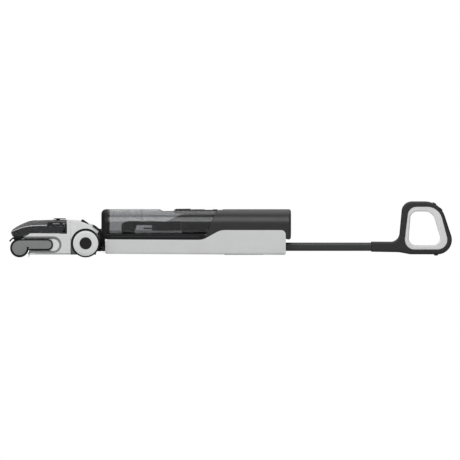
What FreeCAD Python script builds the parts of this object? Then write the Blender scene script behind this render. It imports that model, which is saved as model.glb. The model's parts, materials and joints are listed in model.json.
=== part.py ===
"""Wet dry floor scrubber, lying flat: floor head at -X, body and handle along +X, front of the body facing +Z.

Millimetres. The origin is on the floor, in the middle of the overall length and width.
The head holds a driven roller, a lift-off roller cover and two wheels. A neck pitches on pins in the head,
and the body swivels on the neck. The body carries a dirty water tank, a clean water tank, the suction motor,
the battery and the pole with its loop handle. Each sub-part is written to parts/NODE.step.
"""

import FreeCAD, Part  # noqa: E401
import math
import os

V = FreeCAD.Vector
UP, ALONG, ACROSS = V(0, 0, 1), V(1, 0, 0), V(0, 1, 0)

# ---- driving dimensions ------------------------------------------------------------------------------------
HALF_LENGTH = 642.5  # half of the overall length, from the bumper's lip to the back of the handle
FLOOR = 0.0

ROLLER_R = 27.4  # outside of the pile, which rests on the floor
ROLLER_X, ROLLER_Z = -612.1, ROLLER_R
WHEEL_R = 40.8
WHEEL_X, WHEEL_Z = -420.2, WHEEL_R
PITCH_X, PITCH_Z = -440.5, 50.5  # the axis about which the body stands up
ARM_END_X, ARM_Z = -531.0, 37.0  # centre of the arm's round end
MOTOR_X, MOTOR_Z = -556.0, 39.0  # the brush motor's axis

HEAD_HALF = 131.0  # side panels' outer faces
PANEL_IN = 118.5  # side panels' inner faces
RECESS_Y = 121.0  # floor of the panel's recess
ARM_IN, ARM_OUT = 121.3, 132.0
DECK_Z = 58.0
COVER_BASE_Z = 69.0
COVER_BACK_X = -475.0
PANEL_BACK_X = -463.7
HEAD_FLOOR_Z = 8.1
SLOT_HALF = 41.5  # half width of the neck's slot in the head
WHEEL_IN, WHEEL_OUT = 104.0, 128.0
WALL = 2.5  # moulded wall thickness

DRUM_R = 55.5  # the neck cover's outside, about the pitch axis
NECK_R, NECK_BORE = 31.6, 20.0
NECK_END_X = -376.2
FOOT_X = -374.7  # the body's end face, where it swivels on the neck
FOOT_BACK_X = -356.0

TUB_HALF = 49.2  # half width of the tank and the motor housing
TUB_TOP = 139.7
TUB_CROWN_R = 42.0  # rounding of their top edges
TANK_Z = 67.0
TANK_X = -355.2
LID_X = -141.8
SHELL_HALF = 52.0
SHELL_FRONT_X, SHELL_BACK_X = -363.7, 160.4
SHELL_LOW_TOP, SHELL_HIGH_TOP = 52.2, 79.2  # height of the shell's side walls beside the tank and the motor
SHELL_BOTTOM = 8.0
HOUSING_BOTTOM = 53.2
HOUSING_BACK_X = 165.0
CAP_BACK_X = 175.2
SEAM_TOP_X, SEAM_LOW_X = -42.0, -76.9  # the slanted joint between tank lid and motor housing
SEAM_TOP_Z, SEAM_LOW_Z = 131.0, 54.8

POLE_H, POLE_W, POLE_Z = 24.4, 26.4, 31.0
POLE_START_X, POLE_END_X = 112.0, 425.0
SLEEVE_X = 407.5
HANDLE_HALF = 16.0
LINER_HALF = 14.0

ROLLER_PULLEY_R, MOTOR_PULLEY_R, BELT = 8.0, 5.5, 1.0
PIN_R = 6.0
AXLE_R = 5.0
RUNNING = 0.05  # radial clearance of a running fit
GAP = 0.3  # clearance between pieces that move past each other

parts = {}


# ---- drawing helpers ---------------------------------------------------------------------------------------
def wire(points, place):
    """Closed wire through (u, v) or (u, v, corner radius) points, put in space by place(u, v)."""
    n = len(points)
    uv = [FreeCAD.Vector(p[0], p[1], 0) for p in points]
    radii = [p[2] if len(p) > 2 else 0.0 for p in points]
    starts, ends, mids = [], [], []
    for i in range(n):
        here, back, ahead = uv[i], uv[i - 1] - uv[i], uv[(i + 1) % n] - uv[i]
        if radii[i] == 0.0:
            starts.append(here)
            ends.append(here)
            mids.append(None)
            continue
        a, b = FreeCAD.Vector(back), FreeCAD.Vector(ahead)
        a.normalize()
        b.normalize()
        half = a.getAngle(b) / 2
        reach = radii[i] / math.tan(half)
        bisector = a + b
        bisector.normalize()
        starts.append(here + a * reach)
        ends.append(here + b * reach)
        mids.append(here + bisector * (radii[i] / math.sin(half) - radii[i]))
    edges = []
    for i in range(n):
        if mids[i] is not None:
            three = [place(p.x, p.y) for p in (starts[i], mids[i], ends[i])]
            edges.append(Part.Arc(*three).toShape())
        a, b = ends[i], starts[(i + 1) % n]
        if (b - a).Length > 1e-6:
            edges.append(Part.LineSegment(place(a.x, a.y), place(b.x, b.y)).toShape())
    return Part.Wire(edges)


def side(points, y0, y1):
    """A solid with this outline in side view (x, z), from y0 to y1."""
    return Part.Face(wire(points, lambda u, v: V(u, y0, v))).extrude(V(0, y1 - y0, 0))


def section(points, x0, x1):
    """A solid with this outline in cross section (y, z), from x0 to x1."""
    return Part.Face(wire(points, lambda u, v: V(x0, u, v))).extrude(V(x1 - x0, 0, 0))


def plan(points, z0, z1):
    """A solid with this outline seen from above (x, y), from z0 to z1."""
    return Part.Face(wire(points, lambda u, v: V(u, v, z0))).extrude(V(0, 0, z1 - z0))


def box(x0, x1, y0, y1, z0, z1):
    return Part.makeBox(x1 - x0, y1 - y0, z1 - z0, V(x0, y0, z0))


def rectangle(u0, u1, v0, v1, r=0.0):
    return [(u0, v0, r), (u1, v0, r), (u1, v1, r), (u0, v1, r)]


def rod_y(x, z, r, y0, y1):
    """A cylinder along Y."""
    return Part.makeCylinder(r, y1 - y0, V(x, y0, z), ACROSS)


def rod_x(y, z, r, x0, x1):
    """A cylinder along X."""
    return Part.makeCylinder(r, x1 - x0, V(x0, y, z), ALONG)


def rod_z(x, y, r, z0, z1):
    """A cylinder along Z."""
    return Part.makeCylinder(r, z1 - z0, V(x, y, z0), UP)


def ring_y(x, z, r_out, r_in, y0, y1):
    return rod_y(x, z, r_out, y0, y1).cut(rod_y(x, z, r_in, y0 - 1, y1 + 1))


def ring_x(y, z, r_out, r_in, x0, x1):
    return rod_x(y, z, r_out, x0, x1).cut(rod_x(y, z, r_in, x0 - 1, x1 + 1))


def polar(x, z, r, degrees):
    """The point at radius r and this angle from +X towards +Z, about (x, z)."""
    a = math.radians(degrees)
    return (x + r * math.cos(a), z + r * math.sin(a))


def arc_band(x, z, r_in, r_out, a0, a1, y0, y1):
    """Part of a ring about a Y axis, between two angles from +X towards +Z."""
    def at(r, a):
        px, pz = polar(x, z, r, a)
        return V(px, y0, pz)

    middle = (a0 + a1) / 2
    edges = [
        Part.Arc(at(r_out, a0), at(r_out, middle), at(r_out, a1)).toShape(),
        Part.LineSegment(at(r_out, a1), at(r_in, a1)).toShape(),
        Part.Arc(at(r_in, a1), at(r_in, middle), at(r_in, a0)).toShape(),
        Part.LineSegment(at(r_in, a0), at(r_out, a0)).toShape(),
    ]
    return Part.Face(Part.Wire(edges)).extrude(V(0, y1 - y0, 0))


def fuse(*shapes):
    shapes = [s for s in shapes if s is not None]
    return shapes[0].fuse(list(shapes[1:])).removeSplitter() if len(shapes) > 1 else shapes[0]


def cut(shape, *tools):
    for tool in tools:
        shape = shape.cut(tool)
    return shape


def mirrored(shape):
    """The same piece on the other side of the machine."""
    return shape.mirror(V(0, 0, 0), ACROSS)


def pair(shape):
    """A piece and its mirror image as separate solids."""
    return Part.makeCompound([shape, mirrored(shape)])


def soften(shape, radius, pick):
    """Rounds the edges that pick chooses. If the modeller refuses the set, it tries them one by one."""
    chosen = [e for e in shape.Edges if pick(e)]
    try:
        made = shape.makeFillet(radius, chosen)
        if made.isValid() and made.Volume > 0:
            return made
    except Exception:
        pass
    kept = 0
    for edge in chosen:
        middle = edge.CenterOfMass
        same = [e for e in shape.Edges if (e.CenterOfMass - middle).Length < 1e-3]
        try:
            made = shape.makeFillet(radius, same[:1])
            if made.isValid() and made.Volume > 0:
                shape = made
                kept += 1
        except Exception:
            continue
    print("  soften: rounded", kept, "of", len(chosen), "edges one by one")
    return shape


def on_y(y, tolerance=0.01):
    """Chooses edges that lie in the plane at this y."""
    return lambda e: abs(e.BoundBox.YMin - y) < tolerance and abs(e.BoundBox.YMax - y) < tolerance


def on_x(x, tolerance=0.01):
    return lambda e: abs(e.BoundBox.XMin - x) < tolerance and abs(e.BoundBox.XMax - x) < tolerance


def on_z(z, tolerance=0.01):
    return lambda e: abs(e.BoundBox.ZMin - z) < tolerance and abs(e.BoundBox.ZMax - z) < tolerance


def either(*picks):
    return lambda e: any(p(e) for p in picks)


def add(name, shape):
    parts[name] = shape


# ---- outlines used by more than one piece ------------------------------------------------------------------
def arm_outline(rim, y0, y1):
    """The key shape of the roller arm, rim mm inside its outer edge: a disc round the roller's end and an arm."""
    disc = rod_y(ROLLER_X, ROLLER_Z, 24.6 - rim, y0, y1)
    half = 16.2 - rim * 1.22
    arm = side(
        [
            (ROLLER_X, ARM_Z - half),
            (ARM_END_X + half, ARM_Z - half, half * 0.96),
            (ARM_END_X + half, ARM_Z + half, half * 0.96),
            (ROLLER_X, ARM_Z + half),
        ],
        y0,
        y1,
    )
    neck = side(
        [
            (ROLLER_X, ROLLER_Z),
            (ROLLER_X + 12, ROLLER_Z + 2),
            (ROLLER_X + 22, ARM_Z + half),
            (ROLLER_X, ARM_Z + half),
            (ROLLER_X - 9, ROLLER_Z + 18 - rim, 4),
        ],
        y0,
        y1,
    )
    return fuse(disc, arm, neck.common(side(rectangle(-700, -500, 0, ARM_Z + half), y0, y1)))


def cover_outline(inset):
    """Side view of the roller cover, open below; inset is how far inside the outer skin it lies."""
    i = inset
    return [
        (-637.1 + i, 76.0, 3),
        (-609.0 + i * 0.5, 97.5 - i, 60),
        (-575.0, 107.5 - i, 120),
        (COVER_BACK_X + i * 8, 109.5 - i),
        (COVER_BACK_X + i * 8, COVER_BASE_Z - i * 8),
        (-579.4 - i * 3, COVER_BASE_Z - i * 8),
        (-599.0 - i, 60.3 - i * 8),
        (-630.0 + i, 60.0 - i * 8, 2 if i == 0 else 0),
    ]


def crown(half, edge_z, crown_z, x0, x1, r=9.0, low=0.0):
    """A bar along X whose top bows up from edge_z at the sides to crown_z in the middle."""
    place = lambda u, v: V(x0, u, v)  # noqa: E731
    edges = [
        Part.Arc(place(half, edge_z), place(0, crown_z), place(-half, edge_z)).toShape(),
        Part.LineSegment(place(-half, edge_z), place(-half, low)).toShape(),
        Part.LineSegment(place(-half, low), place(half, low)).toShape(),
        Part.LineSegment(place(half, low), place(half, edge_z)).toShape(),
    ]
    bar = Part.Face(Part.Wire(edges)).extrude(V(x1 - x0, 0, 0))
    corners = [
        e for e in bar.Edges
        if abs(e.BoundBox.ZMin - edge_z) < 0.01 and abs(e.BoundBox.ZMax - edge_z) < 0.01 and e.Length > half
    ]
    return bar.makeFillet(r, corners) if r else bar


def fender_outline(inset):
    """Side view of the head's rear top shell."""
    i = inset
    return [
        (COVER_BACK_X - i * 4, 109.8 - i),
        (-447.0, 109.0 - i, 20),
        (-409.0 - i * 0.6, 95.2 - i * 0.8, 50),
        (-387.5 - i, 70.6 - i * 0.4, 3 if i == 0 else 0),
        (-384.0 - i, 60.0),
        (-384.0 - i, 40.0),
        (COVER_BACK_X - i * 4, 40.0 - i),
    ]


def tub_section(half, low, top, r_low):
    """Cross section shared by the dirty tank, its lid and the motor housing."""
    r = TUB_CROWN_R - (TUB_HALF - half)
    return [(-half, low, r_low), (half, low, r_low), (half, top, r), (-half, top, r)]


def seam_x(z, shift=0.0):
    """Where the slanted seam lies at this height."""
    slope = (SEAM_TOP_X - SEAM_LOW_X) / (SEAM_TOP_Z - SEAM_LOW_Z)
    return SEAM_LOW_X + (z - SEAM_LOW_Z) * slope + shift


def behind_seam(shift):
    """Everything on the motor's side of the slanted seam."""
    return side(
        [(seam_x(-50, shift), -50), (400, -50), (400, 250), (seam_x(250, shift), 250)], -200, 200
    )


def ahead_of_seam(shift):
    """Everything on the tank's side of the slanted seam."""
    return side(
        [(-500, -50), (seam_x(-50, shift), -50), (seam_x(250, shift), 250), (-500, 250)], -200, 200
    )


# ---- floor head --------------------------------------------------------------------------------------------
def head_base():
    """Dark underbody: floor plate, roller bay wall, deck, wheel well walls and the neck's bracket walls."""
    floor = plan(rectangle(-580, -390, -118.3, 118.3, 6), HEAD_FLOOR_Z, HEAD_FLOOR_Z + 3)
    bay = arc_band(ROLLER_X, ROLLER_Z, 29.5, 32.0, -37, 62, -118.3, 118.3)
    scraper = arc_band(ROLLER_X, ROLLER_Z, ROLLER_R + 0.5, 30.0, 44, 46, -115, 115)
    deck = box(-599.0, -466.0, -118.3, 118.3, DECK_Z - WALL, DECK_Z)
    wells = fuse(box(-464.0, -380, 99.5, 130, 0, 20), box(-464.0, -380, -130, -99.5, 0, 20))
    notch = box(-503.0, -400.0, -SLOT_HALF, SLOT_HALF, DECK_Z - 10, DECK_Z + 10)
    bracket_out = side(
        [
            (-503.0, HEAD_FLOOR_Z + 2),
            (-390.0, HEAD_FLOOR_Z + 2),
            (-386.9, 62.0),
            (-391.0, 70.0, 10),
            (-411.5, 91.2, 40),
            (-448.0, 104.6, 20),
            (-466.0, 106.2),
            (-503.0, DECK_Z),
        ],
        SLOT_HALF,
        SLOT_HALF + WALL,
    )
    well = side(
        [
            (-462.5, HEAD_FLOOR_Z + 2),
            (-394.0, HEAD_FLOOR_Z + 2),
            (-387.2, 40.0),
            (-387.2, 61.0),
            (-391.4, 69.5, 10),
            (-412.0, 90.4, 40),
            (-448.5, 104.2, 20),
            (-462.5, 106.0),
        ],
        97.0,
        99.5,
    )
    bridge = box(-462.5, -460.0, SLOT_HALF + WALL, 97.0, HEAD_FLOOR_Z + 2, DECK_Z)
    half = fuse(bracket_out, well, bridge)
    boss = rod_y(WHEEL_X, WHEEL_Z, 11.0, 84.0, 97.0)
    pivot_boss = rod_y(PITCH_X, PITCH_Z, 13.0, SLOT_HALF + WALL, SLOT_HALF + WALL + 4)
    half = fuse(half, boss, pivot_boss)
    body = fuse(floor.cut(wells), bay, scraper, deck.cut(notch), half, mirrored(half))
    mouth = box(-600, -570, -58.0, 58.0, 13.0, 36.0)
    tools = [mouth, rod_y(PITCH_X, PITCH_Z, PIN_R + RUNNING, -60, 60)]
    tools.append(rod_y(WHEEL_X, WHEEL_Z, AXLE_R + RUNNING, -110, 110))
    for x, y in head_screw_places():
        tools.append(rod_z(x, y, 1.8, HEAD_FLOOR_Z - 1, HEAD_FLOOR_Z + 5))
        tools.append(rod_z(x, y, 3.9, HEAD_FLOOR_Z - 1, HEAD_FLOOR_Z + 1.45))
    return cut(body, *tools)


def head_screw_places():
    return [(x, y) for x in (-560.0, -480.0, -405.0) for y in (-86.0, 86.0)]


def head_top_shell():
    """Light rear top shell with a fender over each wheel and the slot for the neck."""
    outer = side(fender_outline(0), -127, 127)
    outer = soften(outer, 5.0, either(on_y(-127), on_y(127)))
    inner = side(fender_outline(WALL), -124.5, 124.5)
    shell = outer.cut(inner)
    below = box(-500, -300, -200, 200, -10, 44.0)
    arch = fuse(
        rod_y(WHEEL_X, WHEEL_Z, 43.0, 99.8, 140), rod_y(WHEEL_X, WHEEL_Z, 43.0, -140, -99.8)
    )
    slot = box(-520, -300, -SLOT_HALF - WALL - GAP, SLOT_HALF + WALL + GAP, 0, 200)
    front = box(-520, -466, -200, 200, -10, 106.5)
    return cut(shell, below, arch, slot, front.common(box(-520, -466, -118.6, 118.6, -10, 106.9)))


def side_panel():
    """Light side panel with the recess that the roller arm lies in. Drawn for the +Y side."""
    outline = [
        (-583.0, HEAD_FLOOR_Z, 3),
        (PANEL_BACK_X, HEAD_FLOOR_Z, 3),
        (PANEL_BACK_X, 108.6, 2),
        (COVER_BACK_X + 0.5, 109.0, 2),
        (COVER_BACK_X + 0.5, COVER_BASE_Z - 0.5, 1.5),
        (-579.4, COVER_BASE_Z - 0.5, 6),
        (-600.0, 59.6, 2),
        (-600.0, 50.0),
        (-583.0, 34.0),
    ]
    panel = side(outline, PANEL_IN, HEAD_HALF)
    panel = soften(panel, 1.6, on_y(HEAD_HALF))
    floor_r, rim_r, rim_y = 20.2, 23.6, 126.0
    round_end = ARM_END_X + 16.6
    recess = fuse(
        rod_y(round_end, ARM_Z, floor_r, RECESS_Y, 140),
        box(-700, round_end, RECESS_Y, 140, ARM_Z - floor_r, ARM_Z + floor_r),
        Part.makeCone(floor_r, rim_r, HEAD_HALF - rim_y, V(round_end, rim_y, ARM_Z), ACROSS),
        section(
            [(rim_y, ARM_Z - floor_r), (HEAD_HALF, ARM_Z - rim_r), (HEAD_HALF, ARM_Z + rim_r),
             (rim_y, ARM_Z + floor_r)], -700, round_end
        ),
    )
    bay = rod_y(ROLLER_X, ROLLER_Z, 29.5, 100, 140)
    shaft = rod_y(MOTOR_X, MOTOR_Z, 5.0, 100, 140)
    behind_fender = box(PANEL_BACK_X - 13, -400, PANEL_IN - 1, 127.3, 40.5, 120)
    return cut(panel, recess, bay, shaft, behind_fender.common(box(-474.6, -400, 100, 140, 41, 120)))


def arm_frame(sign):
    """Black hollow arm outside the side panel, with the fixed pin that the roller's end turns on."""
    body = arm_outline(0.0, ARM_IN, ARM_OUT)
    body = soften(body, 1.0, on_y(ARM_OUT))
    hollow = arm_outline(1.4, ARM_IN - 1, 129.6)
    inlay_seat = arm_outline(3.4, 131.2, 140)
    pin = rod_y(ROLLER_X, ROLLER_Z, 4.0, 108.0, 129.8)
    shape = fuse(body.cut(hollow).cut(inlay_seat), pin)
    return shape if sign > 0 else mirrored(shape)


def arm_inlay(sign):
    plate = arm_outline(3.5, 131.25, 132.4)
    plate = soften(plate, 0.4, on_y(132.4))
    plate = plate.cut(rod_y(ROLLER_X + 24.0, ROLLER_Z + 0.5, 3.2, 130, 140))
    return plate if sign > 0 else mirrored(plate)


def suction_duct():
    """Low funnel from the roller bay to the neck's hose."""
    def loop(x, half_w, z0, z1, r, inset):
        w, lo, hi = half_w - inset, z0 + inset, z1 - inset
        return wire(
            rectangle(-w, w, lo, hi, min(r, w * 0.98, (hi - lo) * 0.49)), lambda u, v: V(x, u, v)
        )

    stations = [(-579.6, 60, 12.4, 37.0, 5), (-545, 44, 12.4, 38.5, 9), (-508, 21, 13.0, 40.0, 12),
                (-476, 15.5, 20.0, 51.0, 15)]
    outer = Part.makeLoft([loop(*s, 0.0) for s in stations], True, False)
    inner = Part.makeLoft([loop(*s, 2.0) for s in stations], True, False)
    return outer.cut(inner).cut(rod_y(ROLLER_X, ROLLER_Z, 32.3, -200, 200))


def spray_bar():
    """Water bar with its nozzles, over the back of the roller."""
    x, z = -590.0, DECK_Z + 5.5
    bar = rod_y(x, z, 4.0, -104, 104)
    nozzles = [rod_y(x, z, 5.2, y - 4, y + 4) for y in (-90, -54, -18, 18, 54, 90)]
    return fuse(bar, *nozzles)


def squeegee_blade():
    """Rubber lip behind the roller."""
    outline = [(-585.8, 1.2), (-584.4, 1.2), (-581.5, 13.0), (-584.0, 13.0)]
    blade = side(outline, -114, 114)
    return blade.cut(rod_y(ROLLER_X, ROLLER_Z, 29.4, -200, 200)).cut(
        arc_band(ROLLER_X, ROLLER_Z, 29.0, 32.4, -37.5, 60, -118.5, 118.5)
    )


def brush_motor():
    """Geared motor that drives the roller's belt from inside the head."""
    can = rod_y(MOTOR_X, MOTOR_Z, 15.2, -112, -58)
    face = rod_y(MOTOR_X, MOTOR_Z, 15.8, -118.2, -112)
    tail = rod_y(MOTOR_X, MOTOR_Z, 6.0, -58, -54)
    return fuse(can, face, tail).cut(rod_y(MOTOR_X, MOTOR_Z, 2.6, -130, -96))


def motor_pulley():
    drum = rod_y(MOTOR_X, MOTOR_Z, MOTOR_PULLEY_R, -128.2, -123.8)
    lip = MOTOR_PULLEY_R + 1.2
    lips = fuse(
        rod_y(MOTOR_X, MOTOR_Z, lip, -128.9, -128.2), rod_y(MOTOR_X, MOTOR_Z, lip, -123.8, -123.1)
    )
    shaft = rod_y(MOTOR_X, MOTOR_Z, 2.6 - RUNNING, -124, -98)
    return fuse(drum, lips, shaft)


def belt_loop(r1, r2, y0, y1):
    """A loop with straight runs round the roller pulley and the motor pulley."""
    dx, dz = MOTOR_X - ROLLER_X, MOTOR_Z - ROLLER_Z
    distance, heading = math.hypot(dx, dz), math.degrees(math.atan2(dz, dx))
    lean = math.degrees(math.acos((r1 - r2) / distance))

    def at(x, z, r, a):
        px, pz = polar(x, z, r, a)
        return V(px, y0, pz)

    up, down = heading + lean, heading - lean
    edges = [
        Part.LineSegment(
            at(ROLLER_X, ROLLER_Z, r1, up), at(MOTOR_X, MOTOR_Z, r2, up)).toShape(),
        Part.Arc(at(MOTOR_X, MOTOR_Z, r2, up), at(MOTOR_X, MOTOR_Z, r2, heading),
                 at(MOTOR_X, MOTOR_Z, r2, down)).toShape(),
        Part.LineSegment(
            at(MOTOR_X, MOTOR_Z, r2, down), at(ROLLER_X, ROLLER_Z, r1, down)).toShape(),
        Part.Arc(at(ROLLER_X, ROLLER_Z, r1, down), at(ROLLER_X, ROLLER_Z, r1, heading + 180),
                 at(ROLLER_X, ROLLER_Z, r1, up)).toShape(),
    ]
    return Part.Face(Part.Wire(edges)).extrude(V(0, y1 - y0, 0))


def drive_belt():
    outer = belt_loop(
        ROLLER_PULLEY_R + GAP + BELT, MOTOR_PULLEY_R + GAP + BELT, -127.9, -124.1
    )
    inner = belt_loop(ROLLER_PULLEY_R + GAP, MOTOR_PULLEY_R + GAP, -127.9, -124.1)
    return outer.cut(inner)


def wheel_axle():
    """One wheel's stub axle, +Y side, held in the wheel well's wall."""
    return fuse(
        rod_y(WHEEL_X, WHEEL_Z, AXLE_R, 80.0, 125.5), rod_y(WHEEL_X, WHEEL_Z, 8.0, 78.0, 80.0)
    )


def pivot_pin():
    """One of the two pins that the neck pitches on, +Y side."""
    shank = rod_y(PITCH_X, PITCH_Z, PIN_R, 24.0, 48.2)
    head = rod_y(PITCH_X, PITCH_Z, 9.0, SLOT_HALF + WALL + 4.2, SLOT_HALF + WALL + 7.0)
    return fuse(shank, head)


def screw_up(x, y, z, length):
    """A pan head screw driven upwards, its head standing on the face at z."""
    head = rod_z(x, y, 3.4, z - 1.4, z)
    head = soften(head, 0.7, on_z(z - 1.4))
    shank = rod_z(x, y, 1.6, z, z + length)
    slot = box(x - 2.2, x + 2.2, y - 0.45, y + 0.45, z - 2, z - 0.7)
    cross = box(x - 0.45, x + 0.45, y - 2.2, y + 2.2, z - 2, z - 0.7)
    return cut(fuse(head, shank), slot, cross)


def slot_trim():
    """One rubber block beside the neck's slot, +Y side."""
    block = side(
        [(-436.6, 101.0), (-430.6, 110.8, 1.2), (-412.0, 99.2, 0.8), (-413.6, 92.0)], 46.5, 64.0
    )
    return block.cut(side(fender_outline(-0.2), -200, 200))


# ---- roller, wheels, cover ---------------------------------------------------------------------------------
def roller_core():
    tube = rod_y(ROLLER_X, ROLLER_Z, 20.8, -118.0, 118.0)
    return cut(
        tube,
        rod_y(ROLLER_X, ROLLER_Z, 18.0, -105.0, 105.0),
        rod_y(ROLLER_X, ROLLER_Z, 4.0 + RUNNING, -130, 130),
    )


def roller_sleeve():
    sleeve = ring_y(ROLLER_X, ROLLER_Z, ROLLER_R, 20.9, -117.0, 117.0)
    return soften(sleeve, 2.0, lambda e: e.Curve.TypeId == "Part::GeomCircle" and e.Curve.Radius > 25)


def roller_pulley():
    """Belt pulley on the roller's driven end."""
    drum = rod_y(ROLLER_X, ROLLER_Z, ROLLER_PULLEY_R, -128.2, -123.8)
    lips = fuse(
        rod_y(ROLLER_X, ROLLER_Z, ROLLER_PULLEY_R + 1.2, -128.9, -128.2),
        rod_y(ROLLER_X, ROLLER_Z, ROLLER_PULLEY_R + 1.2, -123.8, -123.1),
    )
    hub = rod_y(ROLLER_X, ROLLER_Z, 7.4, -124, -118.0)
    return fuse(drum, lips, hub).cut(rod_y(ROLLER_X, ROLLER_Z, 4.0 + RUNNING, -140, -100))


def tyre():
    """Rubber tyre with cross grooves, +Y side."""
    band = ring_y(WHEEL_X, WHEEL_Z, WHEEL_R, 36.4, WHEEL_IN, WHEEL_OUT)
    band = soften(band, 1.8, lambda e: e.Curve.TypeId == "Part::GeomCircle" and e.Curve.Radius > 40)
    grooves = []
    count = 30
    for k in range(count):
        x, z = polar(WHEEL_X, WHEEL_Z, WHEEL_R, 360 * (k + 0.5) / count)
        groove = box(x - 4, x + 4, WHEEL_IN + 5, WHEEL_OUT - 5, z - 0.9, z + 0.9)
        groove.rotate(V(x, 0, z), ACROSS, -360 * (k + 0.5) / count)
        grooves.append(groove)
    cutter = Part.makeCompound(grooves)
    return band.cut(cutter.common(ring_y(WHEEL_X, WHEEL_Z, 50, WHEEL_R - 1.3, 0, 200)))


def rim():
    """Light wheel disc with its hub and bore, +Y side."""
    drum = rod_y(WHEEL_X, WHEEL_Z, 36.3, WHEEL_IN + 0.5, WHEEL_OUT - 0.2)
    face = Part.makeCone(36.3, 30.0, 1.6, V(WHEEL_X, WHEEL_OUT - 0.2, WHEEL_Z), ACROSS)
    back = ring_y(WHEEL_X, WHEEL_Z, 33.5, 10.0, 100, WHEEL_OUT - 6)
    cap_seat = rod_y(WHEEL_X, WHEEL_Z, 17.8, WHEEL_OUT - 1.5, 140)
    return cut(fuse(drum, face), back, cap_seat, rod_y(WHEEL_X, WHEEL_Z, AXLE_R + RUNNING, 90, 140))


def hub_cap():
    cap = rod_y(WHEEL_X, WHEEL_Z, 17.5, WHEEL_OUT - 1.4, WHEEL_OUT + 2.2)
    return soften(cap, 1.2, on_y(WHEEL_OUT + 2.2))


def roller_cover():
    """See-through cover over the roller: a crowned shell, open below and behind."""
    outer = side(cover_outline(0), -129, 129).common(crown(129, 94.0, 110.0, -660, -460))
    inner = side(cover_outline(WALL), -126.5, 126.5).common(
        crown(126.5, 94.0 - WALL, 110.0 - WALL, -660, -400, 7.0, -60)
    )
    latch_slot = box(-511.5, -494.0, -8.5, 8.5, 90, 130)
    return cut(outer, inner, latch_slot)


def front_bumper():
    """Soft lip that wraps over the front of the roller, on the cover's front edge."""
    lip = arc_band(ROLLER_X, ROLLER_Z, 33.0, 36.25, 98, 147, -118, 118)
    return lip.cut(roller_cover()).cut(
        side(cover_outline(0), -118, 118).cut(side(cover_outline(WALL), -118, 118))
    )


def cover_latch():
    """Slide on top of the cover that frees it from the head."""
    plate = side(
        [(-518.0, 110.4, 0.5), (-478.5, 110.4, 0.5), (-476.8, 113.4, 1.2), (-509.0, 113.4, 6)], -21, 21
    )
    plate = soften(plate, 1.0, lambda e: on_y(-21)(e) or on_y(21)(e))
    stem = box(-505.5, -494.5, -7.5, 7.5, 103.0, 110.8)
    return fuse(plate, stem)


# ---- neck --------------------------------------------------------------------------------------------------
def neck_yoke():
    """Black fork that pitches on the pins and carries the body's swivel spigot."""
    cheek = rod_y(PITCH_X, PITCH_Z, 30.0, 21.0, 36.3)
    block = side(
        [(PITCH_X, PITCH_Z - 27), (-396, PITCH_Z - 25), (-396, PITCH_Z + 25), (PITCH_X, PITCH_Z + 27)],
        -36.3,
        36.3,
    )
    tube = rod_x(0, PITCH_Z, NECK_R, -420.0, NECK_END_X)
    body = fuse(cheek, mirrored(cheek), block, tube)
    throat = section(rectangle(-21, 21, PITCH_Z - 21, PITCH_Z + 21, 12), -480, -404)
    swing = rod_y(PITCH_X, PITCH_Z, 32.0, -21.0, 21.0)
    bore = rod_x(0, PITCH_Z, NECK_BORE, -440, -300)
    pins = rod_y(PITCH_X, PITCH_Z, PIN_R + RUNNING, -60, 60)
    return cut(body, throat, swing, bore, pins)


def neck_cover():
    """Light drum segment that closes the slot in the head while the neck pitches."""
    skin = arc_band(PITCH_X, PITCH_Z, DRUM_R - WALL, DRUM_R, 18, 97, -39.2, 39.2)
    cheek = arc_band(PITCH_X, PITCH_Z, 8.0, DRUM_R - 1, 18, 97, 36.6, 39.2)
    return fuse(skin, cheek, mirrored(cheek)).cut(rod_x(0, PITCH_Z, NECK_R + 0.1, -450, -360))


def slot_shutter():
    """Second drum segment. It turns half as far as the neck and closes the slot ahead of the neck's own cover."""
    skin = arc_band(PITCH_X, PITCH_Z, DRUM_R + GAP, DRUM_R + GAP + 1.8, 88, 129, -41.2, 41.2)
    cheek = fuse(
        arc_band(PITCH_X, PITCH_Z, 9.0, DRUM_R + GAP + 1, 88, 129, 39.5, 41.2),
        ring_y(PITCH_X, PITCH_Z, 12.0, PIN_R + RUNNING, 39.5, 41.2),
    )
    return fuse(skin, cheek, mirrored(cheek)).cut(rod_y(PITCH_X, PITCH_Z, PIN_R + RUNNING, -60, 60))


def neck_bellows():
    """Soft ribbed boot between the drum and the body's foot."""
    outline = [
        (-411.5, 98.6),
        (-396.0, 92.8, 12),
        (-384.5, 86.8, 8),
        (-375.2, 75.5, 3),
        (-375.2, 67.0),
        (-425.0, 67.0),
    ]
    body = side(outline, -30, 30)
    return body.cut(rod_y(PITCH_X, PITCH_Z, DRUM_R + 0.2, -60, 60)).cut(
        rod_x(0, PITCH_Z, NECK_R + 0.1, -440, -370)
    )


def neck_hose():
    """Ribbed suction hose through the neck, straight at rest and bent when the body stands up."""
    x0, z0, x1, z1 = -472.4, 35.9, -391.0, PITCH_Z
    run = V(x1 - x0, 0, z1 - z0)
    start = V(x0, 0, z0)
    tube = Part.makeCylinder(13.4, run.Length, start, run)
    bore = Part.makeCylinder(11.8, run.Length + 2, start - V(run).normalize(), run)
    ribs = []
    count = 16
    for k in range(count):
        at = start + run * ((k + 0.25) / count)
        ribs.append(Part.makeCylinder(14.8, run.Length / count * 0.5, at, run))
    return fuse(tube, *ribs).cut(bore)


def swivel_bearing():
    """Thrust washer between the neck and the body's foot."""
    return ring_x(0, PITCH_Z, 30.5, NECK_BORE + 1, NECK_END_X + 0.05, FOOT_X - GAP)


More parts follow.
